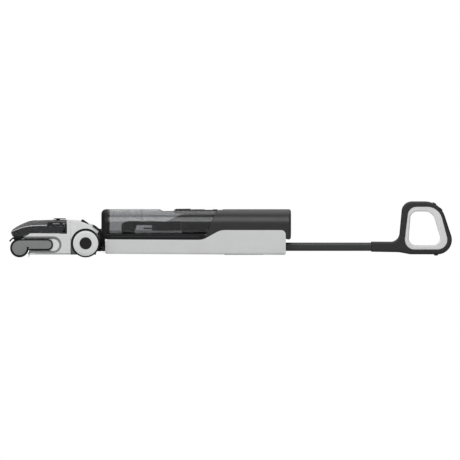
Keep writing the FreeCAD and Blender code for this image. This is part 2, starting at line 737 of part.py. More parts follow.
# ---- body --------------------------------------------------------------------------------------------------
def shell_outline():
    """Side view of the rear shell: low beside the tank, high beside the motor."""
    return [
        (SHELL_FRONT_X, SHELL_BOTTOM + 2.6, 5),
        (SHELL_BACK_X, SHELL_BOTTOM - 0.6, 6),
        (SHELL_BACK_X, SHELL_HIGH_TOP, 14),
        (-29.0, SHELL_HIGH_TOP, 50),
        (-81.0, SHELL_LOW_TOP - 1.4, 50),
        (SHELL_FRONT_X, SHELL_LOW_TOP, 8),
    ]


def spine_shell():
    """Light rear shell: an open tray along the back of the body."""
    outer = side(shell_outline(), -SHELL_HALF, SHELL_HALF).common(
        section(rectangle(-SHELL_HALF, SHELL_HALF, SHELL_BOTTOM - 2, 120, 9), -400, 200)
    )
    outer = soften(outer, 1.2, either(on_y(-SHELL_HALF), on_y(SHELL_HALF)))
    inner_half = SHELL_HALF - WALL
    inner = side(
        [
            (SHELL_FRONT_X + WALL, SHELL_BOTTOM + 2.6 + WALL),
            (SHELL_BACK_X - WALL, SHELL_BOTTOM - 0.6 + WALL),
            (SHELL_BACK_X - WALL, 200),
            (SHELL_FRONT_X + WALL, 200),
        ],
        -inner_half,
        inner_half,
    ).common(section(rectangle(-inner_half, inner_half, SHELL_BOTTOM + 1, 300, 7), -400, 200))
    pole_hole = section(pole_outline(0.3), 150, 170)
    window = plan(rectangle(CLEAN_X0 - 0.4, CLEAN_X1 + 0.4, -38.4, 38.4, 6.4), -10, 30)
    screws = [rod_z(x, y, 1.8, 0, 30) for x, y in body_screw_places()]
    screws += [rod_z(x, y, 3.9, 0, shell_underside(x) + 1.45) for x, y in body_screw_places()]
    end_opening = box(SHELL_BACK_X - 4, SHELL_BACK_X + 1, -49.4, 49.4, 50.6, 120)
    return cut(outer, inner, pole_hole, window, end_opening, *screws)


def pole_outline(grow):
    w, h = POLE_W / 2 + grow, POLE_H / 2 + grow
    return rectangle(-w, w, POLE_Z - h, POLE_Z + h, 8 + grow)


CLEAN_X0, CLEAN_X1 = -18.0, 96.0  # the clean water tank, along the body


def shell_underside(x):
    """Height of the rear shell's outer face at this x."""
    share = (x - SHELL_FRONT_X) / (SHELL_BACK_X - SHELL_FRONT_X)
    return SHELL_BOTTOM + 2.6 - 3.2 * share


def body_screw_places():
    return [(x, y) for x in (-340.0, -60.0, 140.0) for y in (-36.0, 36.0)]


def spine_chassis():
    """Black frame: the foot that swivels on the neck, the tank's bed, and the deck over battery and pump."""
    foot = section(
        [(-40, 17.6, 14), (40, 17.6, 14), (50.0, 60, 10), (50.0, 139.9, 43), (-50.0, 139.9, 43),
         (-50.0, 60, 10)],
        FOOT_X,
        FOOT_BACK_X,
    )
    foot = soften(foot, 14.0, lambda e: on_x(FOOT_X)(e) and e.BoundBox.ZMax > 60)
    foot = foot.cut(box(SHELL_FRONT_X - 0.3, -300, -80, 80, 0, SHELL_LOW_TOP + 0.4))
    bed = section(rectangle(-49.2, 49.2, 44.0, TANK_Z - 0.4, 4), FOOT_BACK_X - 1, -60.0)
    bed = bed.cut(box(-400, 0, -45.5, 45.5, 30.0, TANK_Z - 3.0))
    bed = bed.cut(side([(-400, 58.6), (0, 58.6), (0, 61.4), (-400, 61.4)], 48.2, 60))
    bed = bed.cut(side([(-400, 58.6), (0, 58.6), (0, 61.4), (-400, 61.4)], -60, -48.2))
    bed = bed.common(ahead_of_seam(0.0))
    rail = section(rectangle(-49.2, 49.2, 43.8, 46.5), SHELL_FRONT_X + WALL + 0.2, SHELL_BACK_X - 3)
    rail = rail.cut(box(CLEAN_X0 - 6, CLEAN_X1 + 6, -42, 42, 30, 60))
    socket = section(rectangle(-17.5, 17.5, 15.5, 45.6, 4), 103.0, SHELL_BACK_X - 2.8)
    socket = socket.cut(section(pole_outline(0.2), 108.5, 200))
    spigot = ring_x(0, PITCH_Z, NECK_BORE - RUNNING, 15.0, -388.0, FOOT_X + 2)
    port = rod_x(0, PITCH_Z, 15.0, -400, -340)
    riser_port = rod_z(-297.0, 0, 13.0, 40, 80)
    body = fuse(foot, bed, rail, socket, spigot)
    return cut(body, port.common(box(-400, -358.0, -30, 30, 0, 100)), riser_port)


def tub_shell(x0, x1, low, r_low, wall=WALL):
    """A hollow length of the body's rounded tub."""
    outer = section(tub_section(TUB_HALF, low, TUB_TOP, r_low), x0, x1)
    inner = section(
        tub_section(TUB_HALF - wall, low + wall, TUB_TOP - wall, max(r_low - wall, 1)), x0 - 400, x1 + 400
    )
    return outer, inner


def motor_housing():
    """Dark upper housing over the suction motor."""
    outer, inner = tub_shell(-90, HOUSING_BACK_X, HOUSING_BOTTOM, 10)
    front_wall = section(tub_section(TUB_HALF, HOUSING_BOTTOM, TUB_TOP, 10), -90, 40).common(
        behind_seam(0.5)
    ).cut(behind_seam(0.5 + WALL))
    skirt = behind_seam(0.5)
    tongue = section(tub_section(TUB_HALF - 1.4, HOUSING_BOTTOM + 16, TUB_TOP - 1.4, 9), -90, 40).common(
        behind_seam(-0.3)
    ).cut(behind_seam(1.0))
    shell = fuse(outer.cut(inner).common(skirt), front_wall, tongue)
    air_port = rod_x(0, 100.0, 20.0, -120, 20)
    dip = side([(-60, 150), (-60, 137.9, 10), (-22, 137.9, 10), (-14, 150)], -60, 60)
    vents = [
        section(rectangle(y - 1.5, y + 1.5, 40, 58, 1.4), 142.0, 160.0) for y in range(-30, 31, 6)
    ]
    return cut(shell, air_port, dip, *vents)


def display_cap():
    """Domed end cap round the display."""
    ring = section(tub_section(TUB_HALF, HOUSING_BOTTOM - 1.6, TUB_TOP, 10), HOUSING_BACK_X, CAP_BACK_X)
    ring = soften(ring, 7.0, on_x(CAP_BACK_X))
    seat = rod_x(0, 96.0, 34.4, CAP_BACK_X - 4.0, 200)
    hollow = section(
        tub_section(TUB_HALF - 4, HOUSING_BOTTOM + 3, TUB_TOP - 4, 8), 100, CAP_BACK_X - 6.0
    )
    shaped = cut(ring, seat, hollow)
    return shaped.cut(box(150, 200, -60, 60, 0, 52.0))


def display_lens():
    lens = rod_x(0, 96.0, 34.2, CAP_BACK_X - 3.9, CAP_BACK_X + 0.3)
    return soften(lens, 1.4, on_x(CAP_BACK_X + 0.3))


def suction_motor():
    """Brushless suction motor in its mount."""
    can = rod_x(0, 96.0, 34.0, 24.0, 92.0)
    neck = rod_x(0, 96.0, 24.0, 92.0, 112.0)
    flange = ring_x(0, 96.0, 40.0, 30.0, 20.0, 24.0)
    shaft_bore = rod_x(0, 96.0, 4.0 + RUNNING, 0, 70)
    inlet = rod_x(0, 96.0, 30.0, 19.0, 30.0)
    return cut(fuse(can, neck, flange), shaft_bore, inlet)


def fan_impeller():
    """Suction fan on the motor's shaft."""
    back_plate = rod_x(0, 96.0, 28.0, 26.5, 28.5)
    hub = Part.makeCone(6.0, 12.0, 16.0, V(11.0, 0, 96.0), ALONG)
    shaft = rod_x(0, 96.0, 4.0, 27.0, 66.0)
    blades = []
    count = 9
    for k in range(count):
        blade = box(13.0, 27.0, -0.8, 0.8, 96.0 + 8.0, 96.0 + 27.0)
        blade.rotate(V(13, 0, 96.0 + 17), UP, 0)
        blade.rotate(V(0, 0, 96.0 + 17), V(0, 0, 1), 0)
        blade.rotate(V(20, 0, 96.0), ALONG, 360 * k / count)
        blades.append(blade)
    return fuse(back_plate, hub, shaft, *blades)


def hepa_filter():
    """Pleated filter ahead of the motor, as one frame with a hollow middle."""
    return ring_x(0, 96.0, 33.0, 15.0, -14.0, 8.0)


def battery_cells():
    """Eight round cells in two banks."""
    cells = []
    for x in (-338.0, -268.0):
        for k in range(4):
            cell = rod_x((k - 1.5) * 19.4, 25.0, 9.2, x, x + 65.0)
            cells.append(soften(cell, 0.8, either(on_x(x), on_x(x + 65.0))))
    return Part.makeCompound(cells)


def control_board():
    board = box(-118.0, -34.0, -32.0, 32.0, 24.0, 25.6)
    chips = [
        box(-110, -94, -12, 8, 25.6, 28.4),
        box(-84, -72, -24, -10, 25.6, 31.0),
        box(-60, -46, 4, 22, 25.6, 35.0),
        rod_z(-74, 20, 5.0, 25.6, 37.0),
        rod_z(-88, 24, 5.0, 25.6, 37.0),
    ]
    return fuse(board, *chips)


def water_pump():
    body = box(-182.0, -146.0, -14.0, 14.0, 14.0, 40.0)
    body = soften(body, 3.0, lambda e: e.BoundBox.ZLength > 20)
    motor = rod_x(0, 27.0, 11.0, -146.0, -126.0)
    spouts = fuse(rod_y(-164, 32, 3.0, -24, -14), rod_y(-164, 32, 3.0, 14, 24))
    return fuse(body, motor, spouts)


def charging_contacts():
    """Two metal pads on the underside of the foot, where the dock's springs touch."""
    pads = [box(-372.5, -366.0, s * 12 - 5, s * 12 + 5, 13.4, 14.0) for s in (-1, 1)]
    return Part.makeCompound(pads)


# ---- tanks -------------------------------------------------------------------------------------------------
def grip_dip():
    """The thumb recess across the top of the tank."""
    return side([(-206, 160), (-206, 139.5, 8), (-196, 134.8, 12), (-163.5, 134.8, 2), (-163.5, 160)], -60, 60)


def latch_seat():
    """The pocket for the press latch."""
    return box(-161.6, -114.2, -20.5, 20.5, 133.0, 160)


LID_PLUG_HALF = 26.0  # half width of the lid's top, which shows through an opening in the tank's shell


def dirty_tank():
    """See-through dirty water tank. Its slanted end is open and takes the lid."""
    outer, inner = tub_shell(TANK_X, 0.0, TANK_Z, 12)
    outer = soften(outer, 3.0, on_x(TANK_X)).common(ahead_of_seam(-0.5))
    inner = inner.common(box(TANK_X + WALL, 100, -80, 80, 0, 200))
    dip = grip_dip()
    lined = side(
        [(-208.7, 160), (-208.7, 137.0, 8), (-197, 132.2, 12), (-161, 132.2, 2), (-161, 160)], -60, 60
    )
    shell = outer.cut(inner.cut(lined)).cut(dip)
    lid_top = box(-163.5, 0, -LID_PLUG_HALF - GAP, LID_PLUG_HALF + GAP, 126, 160)
    return cut(shell, rod_z(-297.0, 0, 12.4, 60, 75), lid_top)


def riser_tube():
    """Black bent duct that brings dirty water up into the tank and along to the lid."""
    outline = [
        (-316.4, TANK_Z + WALL, 2),
        (-316.4, 98.0, 10),
        (-298.0, 105.4, 20),
        (-236.0, 106.6, 60),
        (LID_X - 0.4, 101.0, 0),
        (LID_X - 0.4, 78.3, 0),
        (-227.7, 78.3, 2),
        (-227.7, 82.0, 0.5),
        (-252.0, 82.0, 0.5),
        (-252.0, 86.4, 0.5),
        (-227.7, 86.4, 0.5),
        (-227.7, 93.6, 4),
        (-272.0, 93.6, 5),
        (-279.0, TANK_Z + WALL, 2),
    ]
    body = side(outline, -17, 17)
    body = soften(body, 4.0, lambda e: (on_y(-17)(e) or on_y(17)(e)) and e.Length > 12)
    return body.cut(rod_z(-297.0, 0, 11.0, 60, 92)).cut(rod_x(0, 90.0, 9.0, -225, -100)).cut(
        box(-297.0, -215.0, -8, 8, 95.5, 101.5)
    )


def tank_lid():
    """Dark lid with the filter basket, plugged into the tank's slanted end."""
    tuck = WALL + 0.2
    plug = section(
        tub_section(TUB_HALF - tuck, TANK_Z + tuck, TUB_TOP - tuck, 9.5), -240, 20
    ).common(ahead_of_seam(-0.5))
    front = side(
        [(LID_X, 0), (LID_X, 101.6), (-186.0, 101.6, 30), (-120.0, TUB_TOP - 2, 0), (-120.0, 250), (100, 250),
         (100, 0)], -80, 80
    )
    plug = plug.common(front)
    crown = section(tub_section(TUB_HALF, TANK_Z, TUB_TOP, 12), -163.2, 20).common(
        box(-163.2, 20, -LID_PLUG_HALF, LID_PLUG_HALF, 128, 160)
    ).common(ahead_of_seam(-0.5))
    inner = section(
        tub_section(TUB_HALF - tuck - WALL, TANK_Z + tuck + WALL, TUB_TOP - 9, 8), LID_X + 3, 20
    ).common(ahead_of_seam(-0.5 - WALL)).common(side(
        [(LID_X + 3, 0), (LID_X + 3, 120), (-108, 130), (20, 130), (20, 0)], -80, 80
    ))
    dip = side([(-78.5, 150), (-76, 138.2, 4), (-50, 138.2, 6), (-46, 150)], -60, 60)
    air_port = rod_x(0, 100.0, 18.0, -100, 0)
    inlet = rod_x(0, 89.5, 10.0, -145, -130)
    return cut(fuse(plug, crown), inner, latch_seat(), dip, air_port, inlet)


def tank_latch():
    """Press latch on top of the lid that frees the tank."""
    key = side([(-160.6, 135.9, 0.5), (-115.2, 135.9, 0.5), (-115.2, 141.4, 1.0), (-160.6, 141.0, 2.5)], -20, 20)
    key = soften(key, 1.0, lambda e: on_y(-20)(e) or on_y(20)(e))
    return key


def clean_tank():
    """Clean water tank in the back of the body, its outer face level with the shell."""
    outer = plan(rectangle(CLEAN_X0, CLEAN_X1, -38, 38, 6), 7.4, 41.0)
    outer = soften(outer, 2.0, either(on_z(7.4), on_z(41.0)))
    inner = plan(rectangle(CLEAN_X0 + 2, CLEAN_X1 - 2, -36, 36, 4), 9.6, 39.0)
    filler = rod_z(CLEAN_X1 - 18, 0, 9.0, 38.0, 50)
    return outer.cut(inner).cut(filler)


# ---- pole and handle ---------------------------------------------------------------------------------------
def pole():
    outer = section(pole_outline(0.0), POLE_START_X, POLE_END_X)
    inner = section(pole_outline(-1.8), POLE_START_X - 1, POLE_END_X + 1)
    return outer.cut(inner)


def handle_outer():
    """Side view of the loop handle with its sleeve. The corner radii are the loop's own."""
    return [
        (SLEEVE_X, 16.4, 1.2),
        (488.0, 15.0, 60),
        (522.0, 8.8, 60),
        (658.1, 8.8, 42),
        (607.5, 162.7, 62),
        (498.5, 162.7, 30),
        (487.6, 45.6, 26),
        (SLEEVE_X, 46.0, 1.2),
    ]


def handle_window():
    """The boundary between the black loop and its light liner."""
    return [(502.5, 23.5, 28), (636.6, 23.5, 28), (604.4, 146.6, 44), (517.0, 146.6, 26)]


def handle_hole():
    """The finger hole."""
    return [(515.4, 35.8, 20), (614.5, 35.8, 20), (585.5, 133.2, 30), (523.0, 133.2, 20)]


def handle_frame():
    body = side(handle_outer(), -HANDLE_HALF, HANDLE_HALF)
    window = side(handle_window(), -50, 50)
    faces = either(on_y(-HANDLE_HALF), on_y(HANDLE_HALF))
    body = body.cut(window)
    body = soften(body, 5.5, lambda e: faces(e) and not near_window(e))
    body = soften(body, 2.0, lambda e: faces(e))
    socket = section(pole_outline(0.2), 300, POLE_END_X + 0.5)
    body = body.cut(socket)
    for place in BUTTONS:
        body = body.cut(button_well(*place))
    return body.cut(box(FOOT_PAD_X - 6.2, FOOT_PAD_X + 6.2, -9.2, 9.2, 0, 11.2))


def near_window(edge):
    """True for edges on the boundary between frame and liner."""
    b = edge.BoundBox
    return b.XMin > 500 and b.XMax < 639 and b.ZMin > 22 and b.ZMax < 148


BUTTONS = [(592.0, 157.6, 62.0), (611.5, 141.6, 44.0)]  # x, z and the direction that each button faces, degrees
FOOT_PAD_X = 596.0


def button_frame(x, z, degrees, shape):
    """Turns a shape drawn upright at the origin so that it faces outwards from the loop."""
    shape.rotate(V(0, 0, 0), ACROSS, 90 - degrees)
    shape.translate(V(x, 0, z))
    return shape


def button_well(x, z, degrees):
    return button_frame(x, z, degrees, box(-6.8, 6.8, -6.8, 6.8, -4.0, 20))


def button(x, z, degrees):
    key = box(-6.4, 6.4, -6.4, 6.4, -2.2, 1.1)
    key = soften(key, 1.0, lambda e: e.BoundBox.ZMin > 1.05)
    return button_frame(x, z, degrees, key)


def handle_liner():
    """Light lining of the finger hole."""
    grow = 0.15
    outer = [
        (502.5 + grow, 23.5 + grow, 28), (636.6 - grow * 1.3, 23.5 + grow, 28),
        (604.4 - grow, 146.6 - grow, 44), (517.0 + grow, 146.6 - grow, 26),
    ]
    body = side(outer, -LINER_HALF, LINER_HALF).cut(side(handle_hole(), -50, 50))
    return soften(body, 5.0, lambda e: (on_y(-LINER_HALF)(e) or on_y(LINER_HALF)(e)) and in_hole(e))


def in_hole(edge):
    b = edge.BoundBox
    return b.XMin > 510 and b.XMax < 612 and b.ZMin > 34 and b.ZMax < 135


def handle_foot():
    """Rubber bump under the handle, which meets the floor when the machine lies down."""
    pad = box(FOOT_PAD_X - 6, FOOT_PAD_X + 6, -9, 9, 5.4, 11.0)
    return soften(pad, 2.5, lambda e: on_z(5.4)(e))


# ---- the assembly ------------------------------------------------------------------------------------------
def make_head():
    add("head_base", head_base())
    add("head_top_shell", head_top_shell())
    add("side_panel_left", mirrored(side_panel()))
    add("side_panel_right", side_panel())
    for name, sign in (("left", -1), ("right", 1)):
        add(f"arm_frame_{name}", arm_frame(sign))
        add(f"arm_inlay_{name}", arm_inlay(sign))
    add("suction_duct", suction_duct())
    add("spray_bar", spray_bar())
    add("squeegee_blade", squeegee_blade())
    add("brush_motor", brush_motor())
    add("motor_pulley", motor_pulley())
    add("drive_belt", drive_belt())
    add("wheel_axles", pair(wheel_axle()))
    add("pivot_pins", pair(pivot_pin()))
    screws = [screw_up(x, y, HEAD_FLOOR_Z + 1.4, 5) for x, y in head_screw_places()]
    add("head_screws", Part.makeCompound(screws))
    add("slot_trim", pair(slot_trim()))


def make_roller_and_wheels():
    add("roller_core", roller_core())
    add("roller_sleeve", roller_sleeve())
    add("roller_pulley", roller_pulley())
    add("roller_cover", roller_cover())
    add("front_bumper", front_bumper())
    add("cover_latch", cover_latch())
    for name, piece in (("tyre", tyre()), ("rim", rim()), ("hub_cap", hub_cap())):
        add(f"{name}_right", piece)
        add(f"{name}_left", mirrored(piece))


def make_neck():
    add("neck_yoke", neck_yoke())
    add("neck_cover", neck_cover())
    add("slot_shutter", slot_shutter())
    add("neck_bellows", neck_bellows())
    add("neck_hose", neck_hose())
    add("swivel_bearing", swivel_bearing())


def make_body():
    add("spine_shell", spine_shell())
    add("spine_chassis", spine_chassis())
    add("motor_housing", motor_housing())
    add("display_cap", display_cap())
    add("display_lens", display_lens())
    add("suction_motor", suction_motor())
    add("fan_impeller", fan_impeller())
    add("hepa_filter", hepa_filter())
    add("battery_cells", battery_cells())
    add("control_board", control_board())
    add("water_pump", water_pump())
    add("charging_contacts", charging_contacts())
    screws = [screw_up(x, y, shell_underside(x) + 1.4, 7) for x, y in body_screw_places()]
    add("body_screws", Part.makeCompound(screws))
    add("dirty_tank", dirty_tank())
    add("riser_tube", riser_tube())
    add("tank_lid", tank_lid())
    add("tank_latch", tank_latch())
    add("clean_tank", clean_tank())


def make_handle():
    add("pole", pole())
    add("handle_frame", handle_frame())
    add("handle_liner", handle_liner())
    add("handle_foot", handle_foot())
    add("power_button", button(*BUTTONS[0]))
    add("mode_button", button(*BUTTONS[1]))


def write_parts():
    os.makedirs("parts", exist_ok=True)
    whole = FreeCAD.BoundBox()
    for name, shape in sorted(parts.items()):
        shape.exportStep(f"parts/{name}.step")
        whole.add(shape.BoundBox)
        solids = shape.Solids
        good = shape.isValid() and all(s.Volume > 0 for s in solids)
        print(f"{name:20s} solids {len(solids):2d}  volume {shape.Volume / 1000:9.2f} cm3  {'ok' if good else 'BAD'}")
    print("x", round(whole.XMin, 2), round(whole.XMax, 2), " y", round(whole.YMin, 2), round(whole.YMax, 2),
          " z", round(whole.ZMin, 2), round(whole.ZMax, 2), " nodes", len(parts))


make_head()
make_roller_and_wheels()
make_neck()
make_body()
make_handle()
write_parts()
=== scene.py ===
"""Wet dry floor scrubber lying flat, seen from its left side: its looks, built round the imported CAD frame."""

import json
import math
import random

import bmesh
import bpy
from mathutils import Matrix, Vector


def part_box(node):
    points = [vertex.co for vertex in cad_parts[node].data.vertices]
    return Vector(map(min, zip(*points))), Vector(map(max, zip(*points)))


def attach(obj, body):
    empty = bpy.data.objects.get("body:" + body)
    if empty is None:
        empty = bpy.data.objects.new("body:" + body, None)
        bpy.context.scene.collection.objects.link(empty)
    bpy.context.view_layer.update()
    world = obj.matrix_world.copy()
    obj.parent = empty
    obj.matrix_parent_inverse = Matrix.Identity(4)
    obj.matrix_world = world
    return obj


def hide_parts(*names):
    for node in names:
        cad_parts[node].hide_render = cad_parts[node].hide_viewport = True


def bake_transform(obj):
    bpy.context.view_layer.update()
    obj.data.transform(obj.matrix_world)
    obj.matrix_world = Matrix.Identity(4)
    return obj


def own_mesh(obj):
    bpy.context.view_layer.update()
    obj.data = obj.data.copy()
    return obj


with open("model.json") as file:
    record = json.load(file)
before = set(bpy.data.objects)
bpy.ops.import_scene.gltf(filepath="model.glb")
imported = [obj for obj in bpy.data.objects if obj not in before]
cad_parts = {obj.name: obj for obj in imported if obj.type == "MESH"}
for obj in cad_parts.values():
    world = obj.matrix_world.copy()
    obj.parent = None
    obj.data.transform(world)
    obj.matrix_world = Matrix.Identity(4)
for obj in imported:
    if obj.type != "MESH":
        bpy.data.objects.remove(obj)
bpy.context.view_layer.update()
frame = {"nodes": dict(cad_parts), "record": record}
NODES = frame["nodes"]
MM = 0.001
SIDES = (("left", -1), ("right", 1))  # -Y is the left side, which faces the camera


# ---- places taken from the frame -----------------------------------------------------------------
def extent(node):
    """A CAD node's lowest and highest corners in millimetres."""
    low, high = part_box(node)
    return [c / MM for c in low], [c / MM for c in high]


def middle(node, axis):
    """The middle of a CAD node along one axis, in millimetres."""
    low, high = extent(node)
    return (low[axis] + high[axis]) / 2


ROLLER_X, ROLLER_Z = middle("roller_sleeve", 0), middle("roller_sleeve", 2)
ROLLER_R = (extent("roller_sleeve")[1][2] - extent("roller_sleeve")[0][2]) / 2
ROLLER_HALF = extent("roller_sleeve")[1][1]
COVER_FRONT, COVER_BACK = extent("roller_cover")[0][0], extent("roller_cover")[1][0]
COVER_SIDE = extent("roller_cover")[1][1] - 0.1
PANEL_Y = extent("side_panel_right")[1][1]
ARM_HALF = 16.2  # half the height of the roller arm's straight part
ARM_Z = extent("arm_frame_right")[1][2] - ARM_HALF
ARM_BACK_X = extent("arm_frame_right")[1][0]
SWIVEL_Z = middle("swivel_bearing", 2)
FOOT_X = extent("neck_yoke")[1][0] + 1.5
TANK_X = extent("dirty_tank")[0][0]
TANK_LOW, TANK_TOP = extent("dirty_tank")[0][2], extent("motor_housing")[1][2]
TANK_HALF = extent("dirty_tank")[1][1]
LENS_X = extent("display_lens")[1][0]
LENS_Z = middle("display_lens", 2)


# ---- camera, floor and light ---------------------------------------------------------------------
def make_camera():
    data = bpy.data.cameras.new("view_camera")
    data.type = "ORTHO"
    data.ortho_scale = 1.334
    camera = bpy.data.objects.new("view_camera", data)
    bpy.context.collection.objects.link(camera)
    camera.location = (-0.0015, -3.0, 0.0795)
    camera.rotation_euler = (math.radians(90), 0, 0)
    bpy.context.scene.camera = camera


def make_light(name, place, target, size, power):
    data = bpy.data.lights.new(name, "AREA")
    data.shape = "RECTANGLE"
    data.size, data.size_y = size
    data.energy = power
    light = bpy.data.objects.new(name, data)
    bpy.context.collection.objects.link(light)
    light.location = place
    aim = Vector(target) - Vector(place)
    light.rotation_euler = aim.to_track_quat("-Z", "Y").to_euler()


def make_world():
    """White behind the object and through its clear parts, and a dimmer even fill for everything else."""
    world = bpy.data.worlds.new("studio")
    bpy.context.scene.world = world
    world.use_nodes = True
    tree = world.node_tree
    tree.nodes.clear()
    fill = tree.nodes.new("ShaderNodeBackground")
    fill.inputs["Color"].default_value = (1, 1, 1, 1)
    fill.inputs["Strength"].default_value = 0.21
    seen = tree.nodes.new("ShaderNodeBackground")
    seen.inputs["Color"].default_value = (1, 1, 1, 1)
    seen.inputs["Strength"].default_value = 1.0
    path = tree.nodes.new("ShaderNodeLightPath")
    either = tree.nodes.new("ShaderNodeMath")
    either.operation = "MAXIMUM"
    mix = tree.nodes.new("ShaderNodeMixShader")
    out = tree.nodes.new("ShaderNodeOutputWorld")
    tree.links.new(path.outputs["Is Camera Ray"], either.inputs[0])
    tree.links.new(path.outputs["Is Transmission Ray"], either.inputs[1])
    tree.links.new(either.outputs[0], mix.inputs[0])
    tree.links.new(fill.outputs[0], mix.inputs[1])
    tree.links.new(seen.outputs[0], mix.inputs[2])
    tree.links.new(mix.outputs[0], out.inputs[0])


def make_floor():
    mesh = bpy.data.meshes.new("studio_floor")
    r = 6.0
    mesh.from_pydata([(-r, -r, 0), (r, -r, 0), (r, r, 0), (-r, r, 0)], [], [(0, 1, 2, 3)])
    floor = bpy.data.objects.new("studio_floor", mesh)
    floor.location = (0, 0, -0.0006)
    bpy.context.collection.objects.link(floor)
    mat = bpy.data.materials.new("studio_floor")
    mat.use_nodes = True
    shader = mat.node_tree.nodes["Principled BSDF"]
    shader.inputs["Base Color"].default_value = (0.62, 0.62, 0.62, 1)
    shader.inputs["Roughness"].default_value = 0.8
    mesh.materials.append(mat)


def make_studio():
    make_camera()
    make_world()
    make_floor()
    make_light("key_softbox", (-0.2, -2.2, 1.5), (0, 0, 0.05), (3.0, 1.3), 34)
    make_light("top_softbox", (0, 0.2, 2.2), (0, 0, 0), (2.8, 1.4), 15)
    make_light("edge_strip", (-0.3, -1.5, 2.0), (-0.1, 0, 0.08), (2.8, 0.25), 6)
    make_light("back_softbox", (0.2, 1.6, 2.3), (0, 0, 0.05), (2.6, 1.0), 11)
    scene = bpy.context.scene
    scene.view_settings.view_transform = "Standard"
    scene.view_settings.look = "None"


# ---- materials -----------------------------------------------------------------------------------
class Recipe:
    """A node material under construction."""

    def __init__(self, name):
        self.mat = bpy.data.materials.new(name)
        self.mat.use_nodes = True
        self.tree = self.mat.node_tree
        self.shader = self.tree.nodes["Principled BSDF"]
        self.coords = self.tree.nodes.new("ShaderNodeTexCoord").outputs["Object"]

    def node(self, kind, **values):
        made = self.tree.nodes.new(kind)
        for key, value in values.items():
            if key in made.inputs:
                made.inputs[key].default_value = value
            else:
                setattr(made, key, value)
        return made

    def link(self, a, b):
        self.tree.links.new(a, b)

    def set(self, **values):
        for key, value in values.items():
            self.shader.inputs[key.replace("_", " ")].default_value = value

    def stretched(self, scale):
        """Object coordinates scaled along each axis, for grain that runs one way."""
        made = self.node("ShaderNodeMapping")
        made.inputs["Scale"].default_value = scale
        self.link(self.coords, made.inputs["Vector"])
        return made.outputs["Vector"]

    def noise(self, scale, detail=3.0, roughness=0.55, coords=None):
        made = self.node("ShaderNodeTexNoise", Scale=scale, Detail=detail, Roughness=roughness)
        self.link(coords or self.coords, made.inputs["Vector"])
        return made.outputs["Fac"]

    def spread(self, value, low, high, start=0.3, stop=0.7):
        made = self.node("ShaderNodeMapRange")
        made.inputs["From Min"].default_value = start
        made.inputs["From Max"].default_value = stop
        made.inputs["To Min"].default_value = low
        made.inputs["To Max"].default_value = high
        self.link(value, made.inputs["Value"])
        return made.outputs["Result"]

    def colour(self, value, dark, light):
        mix = self.node("ShaderNodeMix", data_type="RGBA")
        self.link(value, mix.inputs["Factor"])
        for socket in mix.inputs:
            if socket.type == "RGBA":
                socket.default_value = (*(dark if socket.name == "A" else light), 1)
        out = [o for o in mix.outputs if o.type == "RGBA"][0]
        self.link(out, self.shader.inputs["Base Color"])
        return out

    def bump(self, height, strength, distance):
        made = self.node("ShaderNodeBump", Strength=strength, Distance=distance)
        self.link(height, made.inputs["Height"])
        before = self.shader.inputs["Normal"].links
        if before:
            self.link(before[0].from_socket, made.inputs["Normal"])
        self.link(made.outputs["Normal"], self.shader.inputs["Normal"])


def scaled(tone, factor):
    return tuple(min(c * factor, 1.0) for c in tone)


def moulded(name, tone, rough=0.45, grain=0.06, fine=1800, vary=0.03, specular=0.5):
    """Moulded plastic: faint blotches of tone, hairline marks in the gloss, and a spark-eroded grain."""
    r = Recipe(name)
    r.colour(r.spread(r.noise(14, 4), 0, 1), scaled(tone, 1 - vary), scaled(tone, 1 + vary))
    marks = r.noise(46, 5, 0.7, r.stretched((0.35, 1.0, 2.6)))
    r.link(r.spread(marks, rough - 0.05, rough + 0.06), r.shader.inputs["Roughness"])
    r.bump(r.noise(fine, 2), grain, 0.0003)
    r.set(Specular_IOR_Level=specular)
    return r.mat


def rubber(name, tone=(0.011, 0.011, 0.012), rough=0.7):
    """Matt rubber with a faint bloom."""
    r = Recipe(name)
    r.colour(r.spread(r.noise(30, 5), 0, 1), tone, scaled(tone, 1.7))
    r.link(r.spread(r.noise(90, 3), rough - 0.08, rough + 0.08), r.shader.inputs["Roughness"])
    r.bump(r.noise(1400, 3), 0.18, 0.0003)
    r.set(Specular_IOR_Level=0.3)
    return r.mat


def clear(name, tone, rough=0.06, wavy=0.02, base=0.5, coat=0.0):
    """Clear tinted plastic, slightly wavy, with faint water marks. A coat gives it softer highlights."""
    r = Recipe(name)
    r.colour(r.spread(r.noise(9, 3), 0, 1), scaled(tone, 0.96), tone)
    r.link(r.spread(r.noise(70, 4, 0.65), rough, rough + 0.03, 0.35, 0.75), r.shader.inputs["Roughness"])
    r.bump(r.noise(22, 2), wavy, 0.001)
    r.set(Transmission_Weight=1.0, IOR=1.45, Specular_IOR_Level=base)
    r.set(Coat_Weight=coat, Coat_Roughness=0.34)
    return r.mat


def metal(name, tone, rough=0.28, along=(1, 1, 1)):
    """Turned or drawn metal with fine lines."""
    r = Recipe(name)
    lines = r.noise(160, 4, coords=r.stretched(along))
    r.colour(r.spread(lines, 0, 1), scaled(tone, 0.86), tone)
    r.link(r.spread(lines, rough - 0.06, rough + 0.1), r.shader.inputs["Roughness"])
    r.bump(lines, 0.08, 0.0002)
    r.set(Metallic=1.0)
    return r.mat


def paper(name, tone):
    """Pleated filter paper: fibres and a soft surface."""
    r = Recipe(name)
    r.colour(r.spread(r.noise(200, 5), 0, 1), scaled(tone, 0.85), tone)
    r.bump(r.noise(900, 4), 0.4, 0.0004)
    r.set(Roughness=0.9)
    return r.mat


def pile(name, dark, light):
    """Microfibre: short tufts that catch the light at their tips."""
    r = Recipe(name)
    tufts = r.noise(700, 4, 0.7)
    r.colour(r.spread(r.noise(120, 5, 0.7), 0, 1), dark, light)
    r.bump(tufts, 0.8, 0.0008)
    r.set(Roughness=0.95, Sheen_Weight=0.5, Sheen_Roughness=0.4, Specular_IOR_Level=0.15)
    return r.mat


